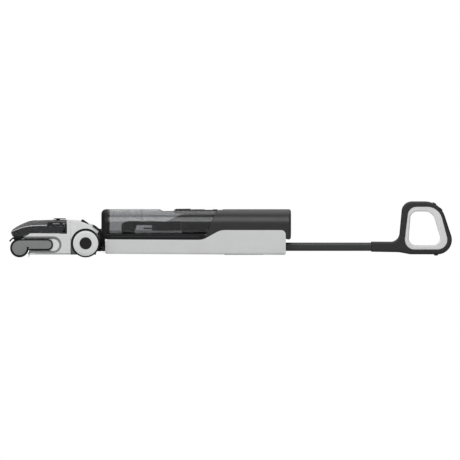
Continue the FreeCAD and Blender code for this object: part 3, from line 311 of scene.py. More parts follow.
def painted_tube(name, tone):
    """Satin paint with a fine metallic fleck."""
    r = Recipe(name)
    fleck = r.noise(2600, 2, 0.8)
    r.colour(r.spread(fleck, 0, 1, 0.45, 0.8), tone, scaled(tone, 1.5))
    streaks = r.noise(50, 3, 0.6, r.stretched((0.2, 1, 1)))
    r.link(r.spread(streaks, 0.26, 0.36), r.shader.inputs["Roughness"])
    r.bump(fleck, 0.03, 0.0002)
    r.set(Specular_IOR_Level=0.4)
    return r.mat


def lit(name, tone, strength):
    """A backlit mark on the display, with the slight unevenness of a light guide."""
    r = Recipe(name)
    shade = r.colour(r.spread(r.noise(300, 3), 0, 1), scaled(tone, 0.8), tone)
    r.link(shade, r.shader.inputs["Emission Color"])
    r.set(Emission_Strength=strength, Roughness=0.3)
    return r.mat


MATS = {
    "silver": moulded("silver_satin", (0.73, 0.733, 0.737), 0.42, 0.05, specular=0.45),
    "head_light": moulded("head_light_satin", (0.78, 0.783, 0.787), 0.46, 0.06),
    "wheel_disc": moulded("wheel_disc_satin", (0.80, 0.803, 0.807), 0.42, 0.04),
    "head_dark": moulded("head_dark", (0.02, 0.02, 0.021), 0.6, 0.15, 1200),
    "black_matt": moulded("black_matt", (0.009, 0.009, 0.010), 0.46, 0.08, 1500, specular=0.22),
    "black_gloss": moulded("black_gloss", (0.008, 0.008, 0.009), 0.2, 0.02),
    "graphite": moulded("graphite", (0.025, 0.025, 0.027), 0.34, 0.04),
    "mid_grey": moulded("mid_grey", (0.245, 0.247, 0.25), 0.5, 0.08),
    "liner_light": moulded("liner_light", (0.84, 0.843, 0.847), 0.55, 0.04, 1300),
    "smoked_clear": clear("smoked_clear", (0.17, 0.172, 0.178), 0.04, 0.01),
    "tank_clear": clear("tank_clear", (0.435, 0.44, 0.448), 0.02, 0.006, 0.0, 0.25),
    "water_clear": clear("water_clear", (0.62, 0.64, 0.67), 0.16),
    "soft_black": rubber("soft_black"),
    "tyre_black": rubber("tyre_black", (0.010, 0.010, 0.011), 0.75),
    "belt": rubber("belt_rubber"),
    "pile": pile("pile", (0.05, 0.052, 0.056), (0.13, 0.134, 0.14)),
    "steel": metal("steel_turned", (0.6, 0.6, 0.61)),
    "screw_steel": metal("screw_steel", (0.12, 0.12, 0.125), 0.4),
    "motor_steel": metal("motor_can", (0.5, 0.5, 0.5), 0.35, (0.1, 1, 1)),
    "pole_paint": painted_tube("pole_paint", (0.040, 0.044, 0.042)),
    "contacts": metal("contact_plating", (0.9, 0.72, 0.4), 0.2),
    "board_green": moulded("solder_mask", (0.01, 0.10, 0.04), 0.3, 0.05),
    "cell_wrap": moulded("cell_wrap", (0.02, 0.10, 0.28), 0.3, 0.03),
    "filter_paper": paper("filter_paper", (0.78, 0.77, 0.73)),
    "fan_white": moulded("fan_white", (0.5, 0.5, 0.5), 0.4),
}
HANDLE_BLACK = moulded("handle_black", (0.021, 0.021, 0.023), 0.38, 0.05, 1500)
LID_BLACK = moulded("lid_black", (0.016, 0.016, 0.017), 0.62, 0.05, specular=0.2)
# painted shade: the dark grey of the wheel-arch liners stands in for the shadow in the arch
ARCH_SHADE_GREY = moulded("arch_shade_grey", (0.085, 0.086, 0.088), 0.6, 0.1)
DISPLAY_LIGHT = lit("display_light", (0.75, 0.9, 1.0), 0.5)


def dress_cad():
    """Gives every CAD node the material of its slot."""
    for row in frame["record"]["subparts"]:
        obj = NODES[row["node"]]
        mat = MATS[row["material_slot"]]
        if not obj.material_slots:
            obj.data.materials.append(mat)
        for item in obj.material_slots:
            item.material = mat
    for node, mat in (("handle_frame", HANDLE_BLACK), ("tank_lid", LID_BLACK)):
        NODES[node].material_slots[0].material = mat


# ---- mesh helpers, in millimetres ----------------------------------------------------------------
def add_mesh(name, bm, slot, body, mat=None):
    """Turns a bmesh into a piece that rides on a body and takes its finish from a slot."""
    bmesh.ops.recalc_face_normals(bm, faces=bm.faces)
    bmesh.ops.scale(bm, vec=(MM, MM, MM), verts=bm.verts)
    for face in bm.faces:
        face.smooth = True
    mesh = bpy.data.meshes.new(name)
    bm.to_mesh(mesh)
    bm.free()
    obj = bpy.data.objects.new(name, mesh)
    bpy.context.collection.objects.link(obj)
    mesh.materials.append(mat or MATS[slot])
    if body:
        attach(obj, body)
    return obj


def grid(bm, rows, close_rows=False, close_columns=False):
    """Quads between rows of points."""
    made = [[bm.verts.new(p) for p in row] for row in rows]
    count, width = len(made), len(made[0])
    for i in range(count if close_rows else count - 1):
        for j in range(width if close_columns else width - 1):
            a, b = made[i][j], made[i][(j + 1) % width]
            c, d = made[(i + 1) % count][(j + 1) % width], made[(i + 1) % count][j]
            bm.faces.new((a, b, c, d))
    return made


def cap_ends(bm, rows):
    """Closes the first and the last ring of a tube."""
    bm.faces.new(rows[0])
    bm.faces.new(rows[-1])


def cap_sides(bm, rows):
    """Closes both ends of a round of open lines."""
    bm.faces.new([row[0] for row in rows])
    bm.faces.new([row[-1] for row in rows])


def curve_at(points, x):
    """Height of a smooth curve through (x, z) points, by monotone cubic steps."""
    if x <= points[0][0]:
        return points[0][1]
    if x >= points[-1][0]:
        return points[-1][1]
    slopes = [(z1 - z0) / (x1 - x0) for (x0, z0), (x1, z1) in zip(points, points[1:])]
    tangents = [slopes[0]]
    for a, b in zip(slopes, slopes[1:]):
        tangents.append(0.0 if a * b <= 0 else 2 * a * b / (a + b))
    tangents.append(slopes[-1])
    i = 0
    while x > points[i + 1][0]:
        i += 1
    x0, z0 = points[i]
    x1, z1 = points[i + 1]
    w = x1 - x0
    t = (x - x0) / w
    rise = z0 * (2 * t ** 3 - 3 * t ** 2 + 1) + z1 * (3 * t ** 2 - 2 * t ** 3)
    lean = tangents[i] * (t ** 3 - 2 * t ** 2 + t) + tangents[i + 1] * (t ** 3 - t ** 2)
    return rise + w * lean


def solidify(obj, thickness, offset=-1.0):
    mod = obj.modifiers.new("wall", "SOLIDIFY")
    mod.thickness = thickness * MM
    mod.offset = offset


def rounded_box(bm, x0, x1, y0, y1, z0, z1, bevel=0.6):
    """A box with rounded edges."""
    verts = bmesh.ops.create_cube(bm, size=1.0)["verts"]
    bmesh.ops.scale(bm, vec=(x1 - x0, y1 - y0, z1 - z0), verts=verts)
    bmesh.ops.translate(bm, vec=((x0 + x1) / 2, (y0 + y1) / 2, (z0 + z1) / 2), verts=verts)
    edges = list({e for v in verts for e in v.link_edges})
    bmesh.ops.bevel(bm, geom=edges, offset=bevel, segments=3, affect="EDGES", profile=0.5)


def arc_bar(bm, centre_x, centre_z, radii, angles, half, steps, lip=0.8):
    """A curved bar across the machine: a band of a ring about a point, with softened long edges."""
    r0, r1 = radii
    a0, a1 = (math.radians(a) for a in angles)
    profile = [(r0, -half), (r0, half), (r1 - lip, half)]
    profile += [(r1, half - lip), (r1, -half + lip), (r1 - lip, -half)]
    rows = []
    for k in range(steps + 1):
        a = a0 + (a1 - a0) * k / steps
        rows.append([(centre_x + r * math.cos(a), y, centre_z + r * math.sin(a)) for r, y in profile])
    cap_ends(bm, grid(bm, rows, close_columns=True))


def lathe_x(bm, profile, centre_z, around=72):
    """A ring about the body's swivel axis. The profile lists (x, radius) in a closed round."""
    rows = []
    for x, r in profile:
        points = []
        for j in range(around):
            a = 2 * math.pi * j / around
            points.append((x, r * math.cos(a), centre_z + r * math.sin(a)))
        rows.append(points)
    grid(bm, rows, close_rows=True, close_columns=True)


# ---- roller cover --------------------------------------------------------------------------------
CORNER_RADIUS = 15.0
SHOULDER_RADIUS = 4.5
CROWN_LINE = [(-637.2, 75.8), (-628, 84.0), (-616, 91.3), (-604, 97.4), (-592, 102.2), (-578, 105.6),
              (-560, 107.6), (-520, 108.9), (-475, 109.4)]
EDGE_LINE = [(-637.2, 75.6), (-620, 82.6), (-596, 90.4), (-572, 93.6), (-548, 94.6), (-475, 94.8)]
BASE_LINE = [(-631, 60.2), (-599, 60.6), (-590, 63.6), (-579.5, 69.2), (-475, 69.2)]


def cover_path(inset):
    """Half of the cover's plan outline, (x, y) points from its front edge round the corner to the back."""
    radius = CORNER_RADIUS - inset
    front, side = COVER_FRONT + inset, COVER_SIDE - inset
    points = []
    for k in range(9):
        a = math.radians(90 * k / 8)
        points.append((front + radius * (1 - math.cos(a)), side - radius + radius * math.sin(a)))
    start = front + radius
    for k in range(1, 39):
        points.append((start + (COVER_BACK - start) * k / 38, side))
    return points


def cover_top(x, s):
    """Height of the cover's top surface; s runs from 0 in the middle to 1 at the shoulder."""
    edge, crown = curve_at(EDGE_LINE, x), curve_at(CROWN_LINE, x)
    return edge + (crown - edge) * (1 - s ** 2.2)


def cover_loop(inset, height, across):
    """One line round the cover, from the back's left end round the front to the right end."""
    path = cover_path(inset)
    half = path[0][1]
    loop = [(x, -y) for x, y in reversed(path)]
    loop += [(path[0][0], (-1 + 2 * k / across) * half) for k in range(1, across)]
    loop += path
    points = []
    for x, y in loop:
        s = min(abs(y) / half, 1.0) if x <= path[0][0] + 1e-6 else 1.0
        points.append((x, y, height(x, s)))
    return points


def roller_cover():
    """Smoked clear shell over the brush roller: a domed top, a rounded shoulder and a plain skirt."""
    bm = bmesh.new()
    across, skirt_levels, shoulder_levels = 28, 5, 6
    loops = []
    for k in range(skirt_levels):
        t = k / skirt_levels

        def skirt(x, s, t=t):
            base = curve_at(BASE_LINE, x)
            return base + t * (cover_top(x, s) - SHOULDER_RADIUS - base)

        tuck = 5.0 * (1 - t) ** 1.5
        row = cover_loop(0.0, skirt, across)
        loops.append([(x + tuck * max(0.0, 1 - (x - COVER_FRONT) / 24.0), y, z) for x, y, z in row])
    for k in range(shoulder_levels + 1):
        a = math.radians(90 * k / shoulder_levels)
        drop = SHOULDER_RADIUS * (1 - math.sin(a))
        inset = SHOULDER_RADIUS * (1 - math.cos(a))
        loops.append(cover_loop(inset, lambda x, s, d=drop: cover_top(x, s) - d, across))
    grid(bm, loops)
    rows = []
    for x, y in cover_path(SHOULDER_RADIUS):
        shares = [-1 + 2 * k / across for k in range(across + 1)]
        rows.append([(x, s * y, cover_top(x, abs(s))) for s in shares])
    grid(bm, rows)
    bmesh.ops.remove_doubles(bm, verts=bm.verts, dist=0.05)
    cover = add_mesh("cover_shell", bm, "smoked_clear", "cover")
    solidify(cover, 2.2)
    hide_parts("roller_cover")


def cover_highlight_bead():
    """Light strip along the cover's shoulder, a painted highlight on its edge, from one clip round the front to
    the other.
    """
    across, clip_front = 28, -531.0
    profile = [(0.9, -2.6), (-0.12, -2.3), (-0.32, -1.6), (-0.12, -0.9), (0.9, -0.6)]
    lines = []
    for inset, lift in profile:
        line = cover_loop(inset, lambda x, s, up=lift: cover_top(x, s) + up, across)
        lines.append([p for p in line if p[0] < clip_front])
    bm = bmesh.new()
    cap_sides(bm, grid(bm, lines, close_rows=True))
    add_mesh("cover_highlight_bead", bm, "head_light", "cover")


def roller_hood():
    """Dark inner hood that the cover carries over the top of the roller, and its cheeks above the arms."""
    bm = bmesh.new()
    arc_bar(bm, ROLLER_X, ROLLER_Z, (27.9, 35.4), (66, 120), 117.0, 20)
    add_mesh("roller_hood", bm, "black_matt", "cover")
    for side, sign in SIDES:
        bm = bmesh.new()
        arc_bar(bm, ROLLER_X, ROLLER_Z, (26.1, 33.4), (75, 124), 6.8, 16)
        bmesh.ops.translate(bm, vec=(0, sign * (ROLLER_HALF + 7.4), 0), verts=bm.verts)
        add_mesh(f"hood_cheek_{side}", bm, "black_matt", "cover")


def bumper_lip():
    """Soft black bumper that curves over the roller from under the cover's front edge."""
    bm = bmesh.new()
    arc_bar(bm, ROLLER_X, ROLLER_Z, (31.8, 36.3), (72, 146.4), 132.38, 30, 0.8)
    lip = add_mesh("bumper_lip", bm, "soft_black", "cover")
    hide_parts("front_bumper")


def cover_pad():
    """Low black grip pad on the cover's crown."""
    bm = bmesh.new()
    front, length, half, sunk, steps, across = -593.0, 33.0, 26.0, -0.3, 12, 8
    rows = []
    for k in range(steps + 1):
        x = front + length * k / steps
        rise = 0.8 * math.sin(math.pi * k / steps) ** 0.4 if 0 < k < steps else sunk
        row = []
        for s in range(-across, across + 1):
            y = half * s / across
            lift = rise if abs(s) < across else sunk
            row.append((x, y, cover_top(x, abs(y) / COVER_SIDE) + lift))
        rows.append(row)
    grid(bm, rows)
    pad = add_mesh("cover_grip_pad", bm, "soft_black", "cover")
    solidify(pad, 0.8)


def cover_clips():
    """Release clip on each side of the cover: dark housing, ribbed lever whose mid grey is a painted highlight
    on the black clip, and a stepped pin.
    """
    for side, sign in SIDES:
        def span(a, b, sign=sign):
            return sorted((sign * a, sign * b))

        bm = bmesh.new()
        rounded_box(bm, -529.5, -489.5, *span(110.0, 129.6), 91.4, 103.8, 1.8)
        rounded_box(bm, -531.5, -524.0, *span(110.0, 129.9), 89.8, 101.0, 1.6)
        add_mesh(f"clip_housing_{side}", bm, "black_gloss", "cover")
        # the lever's mid grey is a painted highlight on the black clip
        bm = bmesh.new()
        rounded_box(bm, -516.0, -496.0, *span(126.0, 130.3), 96.0, 99.6, 1.3)
        for k in range(4):
            rounded_box(bm, -509.5 + 3.2 * k, -508.3 + 3.2 * k, *span(129.0, 130.8), 96.4, 99.2, 0.3)
        add_mesh(f"clip_highlight_lever_{side}", bm, "mid_grey", "cover")
        bm = bmesh.new()
        rounded_box(bm, -488.2, -478.6, *span(120.0, 129.7), 92.0, 102.6, 2.6)
        add_mesh(f"clip_seat_{side}", bm, "black_matt", "cover")
        bm = bmesh.new()
        rounded_box(bm, -486.4, -480.4, *span(126.0, 130.6), 94.6, 100.2, 1.6)
        add_mesh(f"clip_pin_{side}", bm, "mid_grey", "cover")


def latch_inlay():
    """Dark finger plate with ribs on the cover's slide."""
    low, high = extent("cover_latch")
    bm = bmesh.new()
    rounded_box(bm, low[0] + 5.5, low[0] + 21.0, -17, 17, high[2] - 1.6, high[2] + 0.25, 0.5)
    for k in range(5):
        x = low[0] + 7.8 + 2.7 * k
        rounded_box(bm, x, x + 1.2, -14, 14, high[2] - 0.2, high[2] + 0.7, 0.3)
    add_mesh("latch_finger_plate", bm, "graphite", "cover_latch")


# ---- recess round the roller arm -----------------------------------------------------------------
def recess_shade_trim():
    """Grey band that lines the recess round each roller arm: its sloped wall is real shape, its mid grey is
    painted shade on the recess wall.
    """
    end_x, front_top, front_low = ARM_BACK_X + 0.4, -600.0, -583.0
    profile = [(19.0, -3.4), (19.2, -1.0), (20.4, -0.2), (23.4, 0.14), (24.2, 0.14), (24.2, -0.6)]
    for side, sign in SIDES:
        stations = [(front_top + (end_x - front_top) * k / 12, 90) for k in range(12)]
        stations += [(end_x, 90 - 180 * k / 28) for k in range(29)]
        stations += [(end_x + (front_low - end_x) * k / 10, -90) for k in range(1, 11)]
        rows = []
        for x, degrees in stations:
            a = math.radians(degrees)
            ring = [(r * math.cos(a), PANEL_Y + lift, r * math.sin(a)) for r, lift in profile]
            rows.append([(x + dx, sign * y, ARM_Z + dz) for dx, y, dz in ring])
        bm = bmesh.new()
        cap_ends(bm, grid(bm, rows, close_columns=True))
        add_mesh(f"recess_shade_trim_{side}", bm, "mid_grey", "head")


def recess_floor_highlight():
    """Brighter insert at the round end of each recess, leaning back a little towards its top; its lighter colour
    is painted light on a recess floor that lies in shade.
    """
    end_x, reach, run, tuck = ARM_BACK_X + 0.4, 19.4, 17.0, 15.5
    for side, sign in SIDES:
        rows = []
        for k in range(7):
            r = reach * k / 6
            row = [(end_x - run * k / 6, -tuck * k / 6)]
            for j in range(33):
                a = math.radians(-90 + 180 * j / 32)
                row.append((end_x + r * math.cos(a), r * math.sin(a)))
            row.append((end_x - run * k / 6, tuck * k / 6))
            rows.append([(x, sign * (PANEL_Y - 3.4 - 0.075 * z), ARM_Z + z) for x, z in row])
        bm = bmesh.new()
        grid(bm, rows)
        bmesh.ops.remove_doubles(bm, verts=bm.verts, dist=0.01)
        plate = add_mesh(f"recess_floor_highlight_{side}", bm, "liner_light", "head")
        solidify(plate, 0.8)


def slot_wedges():
    """Black wedge on each side of the slot that the neck swings in."""
    outline = [(-436.0, 102.4), (-433.6, 106.6), (-429.2, 110.2)]
    outline += [(-427.0, 110.0), (-412.0, 99.4), (-413.6, 96.0)]
    for side, sign in SIDES:
        bm = bmesh.new()
        inner, outer = sign * 41.6, sign * 58.0
        cap_ends(bm, grid(bm, [[(x, y, z) for x, z in outline] for y in (inner, outer)], close_columns=True))
        bmesh.ops.bevel(bm, geom=list(bm.edges), offset=0.7, segments=3, affect="EDGES", profile=0.5)
        add_mesh(f"slot_wedge_{side}", bm, "soft_black", "head")


def side_shadow_lines():
    """Thin dark strip where each side panel meets the base: a painted shadow line."""
    for side, sign in SIDES:
        y0, y1 = sorted((sign * (PANEL_Y - 2.2), sign * (PANEL_Y + 0.1)))
        bm = bmesh.new()
        rounded_box(bm, -566.0, -466.0, y0, y1, 10.4, 11.6, 0.25)
        add_mesh(f"shadow_line_{side}", bm, "head_dark", "head")


# ---- roller, hose and neck -----------------------------------------------------------------------
def pile_sleeve():
    """Microfibre sleeve: a dense, slightly uneven surface with a spiral seam and tapered ends."""
    bm = bmesh.new()
    random.seed(4)
    core = 21.0
    radius = ROLLER_R - 0.15
    rings, around = 236, 150
    rows = []
    for i in range(rings + 1):
        y = -ROLLER_HALF + 2 * ROLLER_HALF * i / rings
        taper = min(1.0, (ROLLER_HALF - abs(y) + 0.25) / 3.0) ** 0.5
        row = []
        for j in range(around):
            a = 2 * math.pi * j / around
            twist = (y / 38.0 + j / around) % 1.0
            seam = max(0.0, 1 - abs(twist - 0.5) * 60) * 0.7
            r = core + (radius - core - random.uniform(0.0, 0.62)) * taper - seam
            row.append((ROLLER_X + r * math.cos(a), y, ROLLER_Z + r * math.sin(a)))
        rows.append(row)
    grid(bm, rows, close_columns=True)
    sleeve = add_mesh("pile_sleeve", bm, "pile", "roller")
    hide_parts("roller_sleeve")


def neck_hose():
    """Corrugated suction hose from the head to the neck's swivel."""
    bm = bmesh.new()
    start, end = Vector((-472.4, 0, 35.9)), Vector((-391.0, 0, SWIVEL_Z))
    along = (end - start).normalized()
    up = along.cross(Vector((0, 1, 0))).normalized()
    ribs, per_rib, around = 15, 8, 40
    rows = []
    for i in range(ribs * per_rib + 1):
        wave = math.cos(2 * math.pi * i / per_rib)
        r = 13.6 + 1.1 * max(-0.6, wave)
        centre = start.lerp(end, i / (ribs * per_rib))
        row = []
        for j in range(around):
            a = 2 * math.pi * j / around
            row.append(centre + Vector((0, r * math.cos(a), 0)) + up * r * math.sin(a))
        rows.append(row)
    grid(bm, rows, close_columns=True)
    hose = add_mesh("suction_hose", bm, "soft_black", None)
    solidify(hose, 1.2)
    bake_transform(hose)
    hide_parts("neck_hose")


BOOT_LINE = [(-414.0, 98.9), (-405.0, 97.9), (-397.0, 95.1), (-390.0, 90.9), (-383.5, 85.6), (-377.4, 79.0)]


def boot_rows(x0, x1, steps, half, drop, bow_back, sink):
    """Rows across the neck that follow the boot's outline; sink(t) is how far below the line they lie.

    The rows fall by drop and run forward by bow_back at their ends.
    """
    rows = []
    for i in range(steps + 1):
        t = i / steps
        x = x0 + (x1 - x0) * t
        z = curve_at(BOOT_LINE, x) - sink(t)
        row = []
        for k in range(25):
            s = -1 + 2 * k / 24
            bow = abs(s) ** 3.0
            row.append((x - bow_back * bow, s * half * (1 - 0.05 * t), z - drop * bow))
        rows.append(row)
    return rows


def neck_boot():
    """Light fairing over the neck's drum, and the black ribbed lip on it that closes against the foot."""
    def step_down(t):
        return 3.4 * min(1.0, max(0.0, (t - 0.42) / 0.06))

    def ribs(t):
        return 0.3 - 0.3 * math.cos(2 * math.pi * 7 * t)

    bm = bmesh.new()
    grid(bm, boot_rows(-413.6, -380.6, 22, 37.0, 9.0, 4.0, step_down))
    fairing = add_mesh("neck_fairing", bm, "head_light", None)
    solidify(fairing, 1.8)
    bm = bmesh.new()
    top = boot_rows(-398.6, -380.4, 48, 34.0, 0.6, 0.0, ribs)
    under = boot_rows(-398.6, -380.4, 48, 34.0, 0.6, 0.0, lambda t: 4.2)
    cap_sides(bm, grid(bm, top + under[::-1], close_rows=True))
    lip = add_mesh("neck_lip", bm, "soft_black", None)
    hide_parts("neck_bellows")
    for piece, kept in ((fairing, 0.12), (lip, 0.22)):
        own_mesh(piece)
        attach(piece, "neck")


def swivel_cuff():
    """Black cuff on the neck that hides the swivel joint."""
    profile = [(-388.0, 29.0), (-388.0, 31.9), (-386.0, 32.8)]
    profile += [(-376.4, 32.8), (-375.1, 32.2), (-375.1, 29.0)]
    bm = bmesh.new()
    lathe_x(bm, profile, SWIVEL_Z)
    add_mesh("swivel_cuff", bm, "black_matt", "neck")


def swivel_seal():
    """Black ring on the body's foot that turns against the cuff."""
    back = FOOT_X + 1.0
    bm = bmesh.new()
    lathe_x(bm, [(-374.95, 29.0), (-374.95, 31.8), (-374.6, 32.2), (back, 32.2), (back, 29.0)], SWIVEL_Z)
    add_mesh("swivel_seal", bm, "soft_black", "body")


def arch_shade_liners():
    """Dark grey liner between each side panel's rear edge and the wheel: painted shade for the shadow in the
    wheel arch.
    """
    axle_x, axle_z = middle("tyre_left", 0), middle("tyre_left", 2)
    reach = extent("tyre_left")[1][0] - axle_x + 0.6
    front = extent("side_panel_left")[1][0] + 0.15
    base, tall, steps = 9.0, 45.0, 18
    for side, sign in SIDES:
        rows = []
        for k in range(steps + 1):
            z = base + tall * k / steps
            back = max(axle_x - math.sqrt(reach ** 2 - (z - axle_z) ** 2), front + 0.3)
            lean = 0.8 * ((z - base) / tall) ** 2
            row = [(front, 118.0), (front, 126.6 + lean), (back, 125.6 + lean), (back, 118.0)]
            rows.append([(x, sign * y, z) for x, y in row])
        bm = bmesh.new()
        cap_ends(bm, grid(bm, rows, close_columns=True))
        add_mesh(f"arch_shade_liner_{side}", bm, "graphite", "head", ARCH_SHADE_GREY)


def foot_heel():
    """Square black heel under the body's rounded foot."""
    bm = bmesh.new()
    rounded_box(bm, FOOT_X + 0.1, FOOT_X + 11.2, -41.0, 41.0, 17.9, 74.0, 2.2)
    add_mesh("foot_heel", bm, "black_gloss", "body")


# ---- tanks and housing ---------------------------------------------------------------------------
TUB_LOW_R, TUB_CROWN_R = 12.0, 42.0
SEAM_GAP, SEAM_LEAN = 1.0, 0.458


def tub_ring(grow, steps=16):
    """Points (y, z) round the body's tub section, grown outwards by so many millimetres."""
    corners = [
        (TANK_HALF - TUB_LOW_R, TANK_LOW + TUB_LOW_R, TUB_LOW_R, -90),
        (TANK_HALF - TUB_CROWN_R, TANK_TOP - TUB_CROWN_R, TUB_CROWN_R, 0),
        (-TANK_HALF + TUB_CROWN_R, TANK_TOP - TUB_CROWN_R, TUB_CROWN_R, 90),
        (-TANK_HALF + TUB_LOW_R, TANK_LOW + TUB_LOW_R, TUB_LOW_R, 180),
    ]
    points = []
    for y, z, r, start in corners:
        for k in range(steps + 1):
            a = math.radians(start + 90 * k / steps)
            points.append((y + (r + grow) * math.cos(a), z + (r + grow) * math.sin(a)))
    return points


def tub_band(name, place, half_width, outer, depth, slot, body, cut_below=None):
    """A band round the tub at x = place(z); cut_below leaves only the part above a height."""
    inside, skin, proud = tub_ring(-depth), tub_ring(outer - 0.15), tub_ring(outer)
    keep = range(len(skin))
    if cut_below is not None:
        keep = [i for i in keep if skin[i][1] >= cut_below]
    soft = min(0.3, half_width / 2)
    lines = [(-half_width, inside), (-half_width, skin), (-half_width + soft, proud),
             (half_width - soft, proud), (half_width, skin), (half_width, inside)]
    rows = []
    for shift, ring in lines:
        rows.append([(place(ring[i][1]) + shift, ring[i][0], ring[i][1]) for i in keep])
    bm = bmesh.new()
    made = grid(bm, rows, close_rows=True, close_columns=cut_below is None)
    if cut_below is not None:
        cap_sides(bm, made)
    add_mesh(name, bm, slot, body)


def seam_x(z):
    """Where the slanted seam between tank and housing lies at this height."""
    high = extent("tank_lid")[1]
    return high[0] + SEAM_GAP / 2 - (high[2] - z) * SEAM_LEAN


def tank_details():
    """End rim, hoop seam, sealing lines and trim of the dirty water tank."""
    def hoop_x(z):
        return -256.9 + 0.035 * (z - 120)

    def lid_x(z):
        return -98.0 + 0.02 * (z - 120)

    tub_band("tank_end_rim", lambda z: TANK_X + 1.95, 2.75, 0.05, 3.4, "black_gloss", "dirty_tank")
    tub_band("tank_hoop", hoop_x, 0.6, 0.12, 1.0, "graphite", "dirty_tank", cut_below=106.0)
    tub_band("lid_line", lid_x, 0.4, 0.10, 0.6, "black_matt", "dirty_tank", cut_below=99.0)
    tub_band("lid_gasket", lambda z: seam_x(z) - 0.3, 0.75, 0.08, 3.2, "soft_black", "dirty_tank")
    for side, sign in SIDES:
        y0, y1 = sorted((sign * (TANK_HALF - 1.3), sign * (TANK_HALF - 0.1)))
        bm = bmesh.new()
        rounded_box(bm, -349.0, -90.0, y0, y1, 58.9, 61.1, 0.3)
        add_mesh(f"bed_trim_{side}", bm, "graphite", "body")
        y0, y1 = sorted((sign * (TANK_HALF - 3.6), sign * TANK_HALF))
        bm = bmesh.new()
        rounded_box(bm, -355.0, seam_x(66.0) - 2.0, y0, y1, 62.6, 68.6, 0.5)
        add_mesh(f"tank_sill_{side}", bm, "soft_black", "body")


def seam_plug():
    """Black filler in the seam below the tank, between its bed and the motor housing."""
    low, top, ahead, behind, half = 53.8, 66.5, 2.2, 1.2, TANK_HALF - 0.6
    outline = [(seam_x(low) - ahead, low), (seam_x(low) + behind, low)]
    outline += [(seam_x(top) + behind, top), (seam_x(top) - ahead, top)]
    bm = bmesh.new()
    cap_ends(bm, grid(bm, [[(x, y, z) for x, z in outline] for y in (-half, half)], close_columns=True))
    bmesh.ops.bevel(bm, geom=list(bm.edges), offset=0.25, segments=2, affect="EDGES", profile=0.5)
    add_mesh("seam_plug", bm, "soft_black", "body")


def lid_nose():
    """Dark slanted nose of the lid inside the tank's clear shell."""
    wall = 2.9
    base, tip, full, back, lid_top = 101.8, -187.0, -122.0, -60.0, 132.4
    crown_z = TANK_TOP - TUB_CROWN_R

    def half_at(z):
        if z <= crown_z:
            return TANK_HALF - wall
        return TANK_HALF - TUB_CROWN_R + math.sqrt((TUB_CROWN_R - wall) ** 2 - (z - crown_z) ** 2)

    rows = []
    for k in range(25):
        t = k / 24
        x = tip + (back - tip) * t
        climb = min(1.0, 0.05 + 0.95 * (x - tip) / (full - tip)) ** 0.92
        top = base + (lid_top - base) * climb
        heights = [base + (top - base) * j / 10 for j in range(11)]
        row = [(x, half_at(z), z) for z in heights]
        row += [(x, half_at(top) * (1 - j / 5), top) for j in range(1, 10)]
        row += [(x, -half_at(z), z) for z in reversed(heights)]
        rows.append(row)
    bm = bmesh.new()
    cap_ends(bm, grid(bm, rows, close_columns=True))
    add_mesh("lid_nose", bm, "graphite", "dirty_tank", LID_BLACK)


def ring_marks(bm, x, y, z, inner, outer, start, stop, steps=40, depth=0.3):
    """A thin arc lying on a face that looks along +X."""
    rows = []
    for k in range(steps + 1):
        a = math.radians(start + (stop - start) * k / steps)
        profile = [(x - depth, inner), (x, inner + 0.1), (x, outer - 0.1), (x - depth, outer)]
        rows.append([(px, y + r * math.cos(a), z + r * math.sin(a)) for px, r in profile])
    cap_ends(bm, grid(bm, rows, close_columns=True))


def display_marks():
    """Plain light ring, level bars and a small open circle with two ticks on the display."""
    bm = bmesh.new()
    face = LENS_X + 0.22
    ring_marks(bm, face, 0, LENS_Z, 26.4, 28.0, -50, 230)
    for k in range(3):
        y = -7.0 + 7.0 * k
        rounded_box(bm, face - 0.3, face, y - 2.2, y + 2.2, LENS_Z - 16.0, LENS_Z - 13.4 + 1.4 * k, 0.12)
    ring_marks(bm, face, 0, LENS_Z + 4, 5.0, 6.2, -215, 35)
    for y in (-2.4, 2.4):
        rounded_box(bm, face - 0.3, face, y - 0.5, y + 0.5, LENS_Z + 8.8, LENS_Z + 13.5, 0.12)
    add_mesh("display_marks", bm, "black_gloss", "body", DISPLAY_LIGHT)


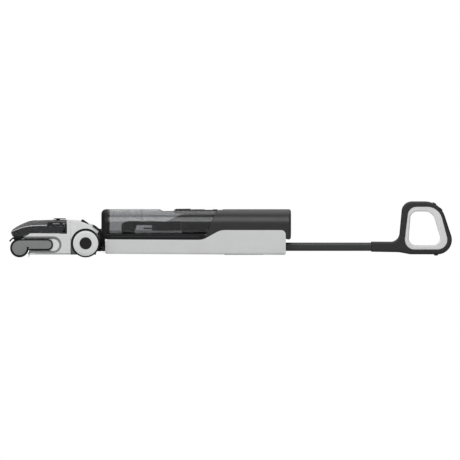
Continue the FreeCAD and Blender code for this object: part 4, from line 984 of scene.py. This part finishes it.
# ---- handle --------------------------------------------------------------------------------------
def dome_button(name, node, degrees, lift, mark):
    """Low domed key with a soft square outline and a pale generic mark, facing so many degrees up from +X.

    It replaces a CAD button and rides on the button's own body, which has the same name. It stands lift
    further out than the button's middle. The mark lists arcs: inner and outer radius, start and stop in degrees.
    """
    low, high = extent(node)
    n = Vector((math.cos(math.radians(degrees)), 0, math.sin(math.radians(degrees))))
    t = Vector((n.z, 0, -n.x))
    middle_point = Vector([(a + b) / 2 for a, b in zip(low, high)]) + n * lift
    across = Vector((0, 1, 0))

    def ring(scale, height, around=48):
        points = []
        for j in range(around):
            a = 2 * math.pi * j / around
            c, s = math.cos(a), math.sin(a)
            reach = 6.3 * scale / (abs(c) ** 4.5 + abs(s) ** 4.5) ** (1 / 4.5)
            points.append(middle_point + t * reach * c + across * reach * s + n * height)
        return points

    bm = bmesh.new()
    rows = [ring(0.97, -1.4 - lift), ring(1.0, -0.3), ring(0.97, 0.05)]
    rows += [ring(f, 0.05 + 0.55 * (1 - f ** 2)) for f in (0.85, 0.65, 0.4, 0.15)]
    cap_ends(bm, grid(bm, rows, close_columns=True))
    key = add_mesh(name, bm, "black_gloss", node)
    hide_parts(node)
    bm = bmesh.new()
    for inner, outer, start, stop in mark:
        rows = []
        for k in range(33):
            a = math.radians(start + (stop - start) * k / 32)
            row = []
            for r, lift in ((inner, 0.35), (inner, 0.66), (outer, 0.66), (outer, 0.35)):
                row.append(middle_point + t * r * math.cos(a) + across * r * math.sin(a) + n * lift)
            rows.append(row)
        cap_ends(bm, grid(bm, rows, close_columns=True))
    add_mesh(f"{name}_mark", bm, "liner_light", node)


def handle_buttons():
    """The power and mode keys on top of the handle."""
    dome_button("power_key", "power_button", 62.0, 0.45, [(2.0, 2.6, -60, 240), (0.01, 0.5, 0, 359)])
    dome_button("mode_key", "mode_button", 44.0, 0.0, [(2.0, 2.6, 20, 160), (2.0, 2.6, 200, 340)])


# ---- build ---------------------------------------------------------------------------------------
make_studio()
dress_cad()
roller_cover()
cover_highlight_bead()
roller_hood()
bumper_lip()
cover_pad()
cover_clips()
latch_inlay()
recess_shade_trim()
recess_floor_highlight()
slot_wedges()
side_shadow_lines()
pile_sleeve()
neck_hose()
neck_boot()
swivel_cuff()
swivel_seal()
arch_shade_liners()
foot_heel()
tank_details()
seam_plug()
lid_nose()
display_marks()
handle_buttons()
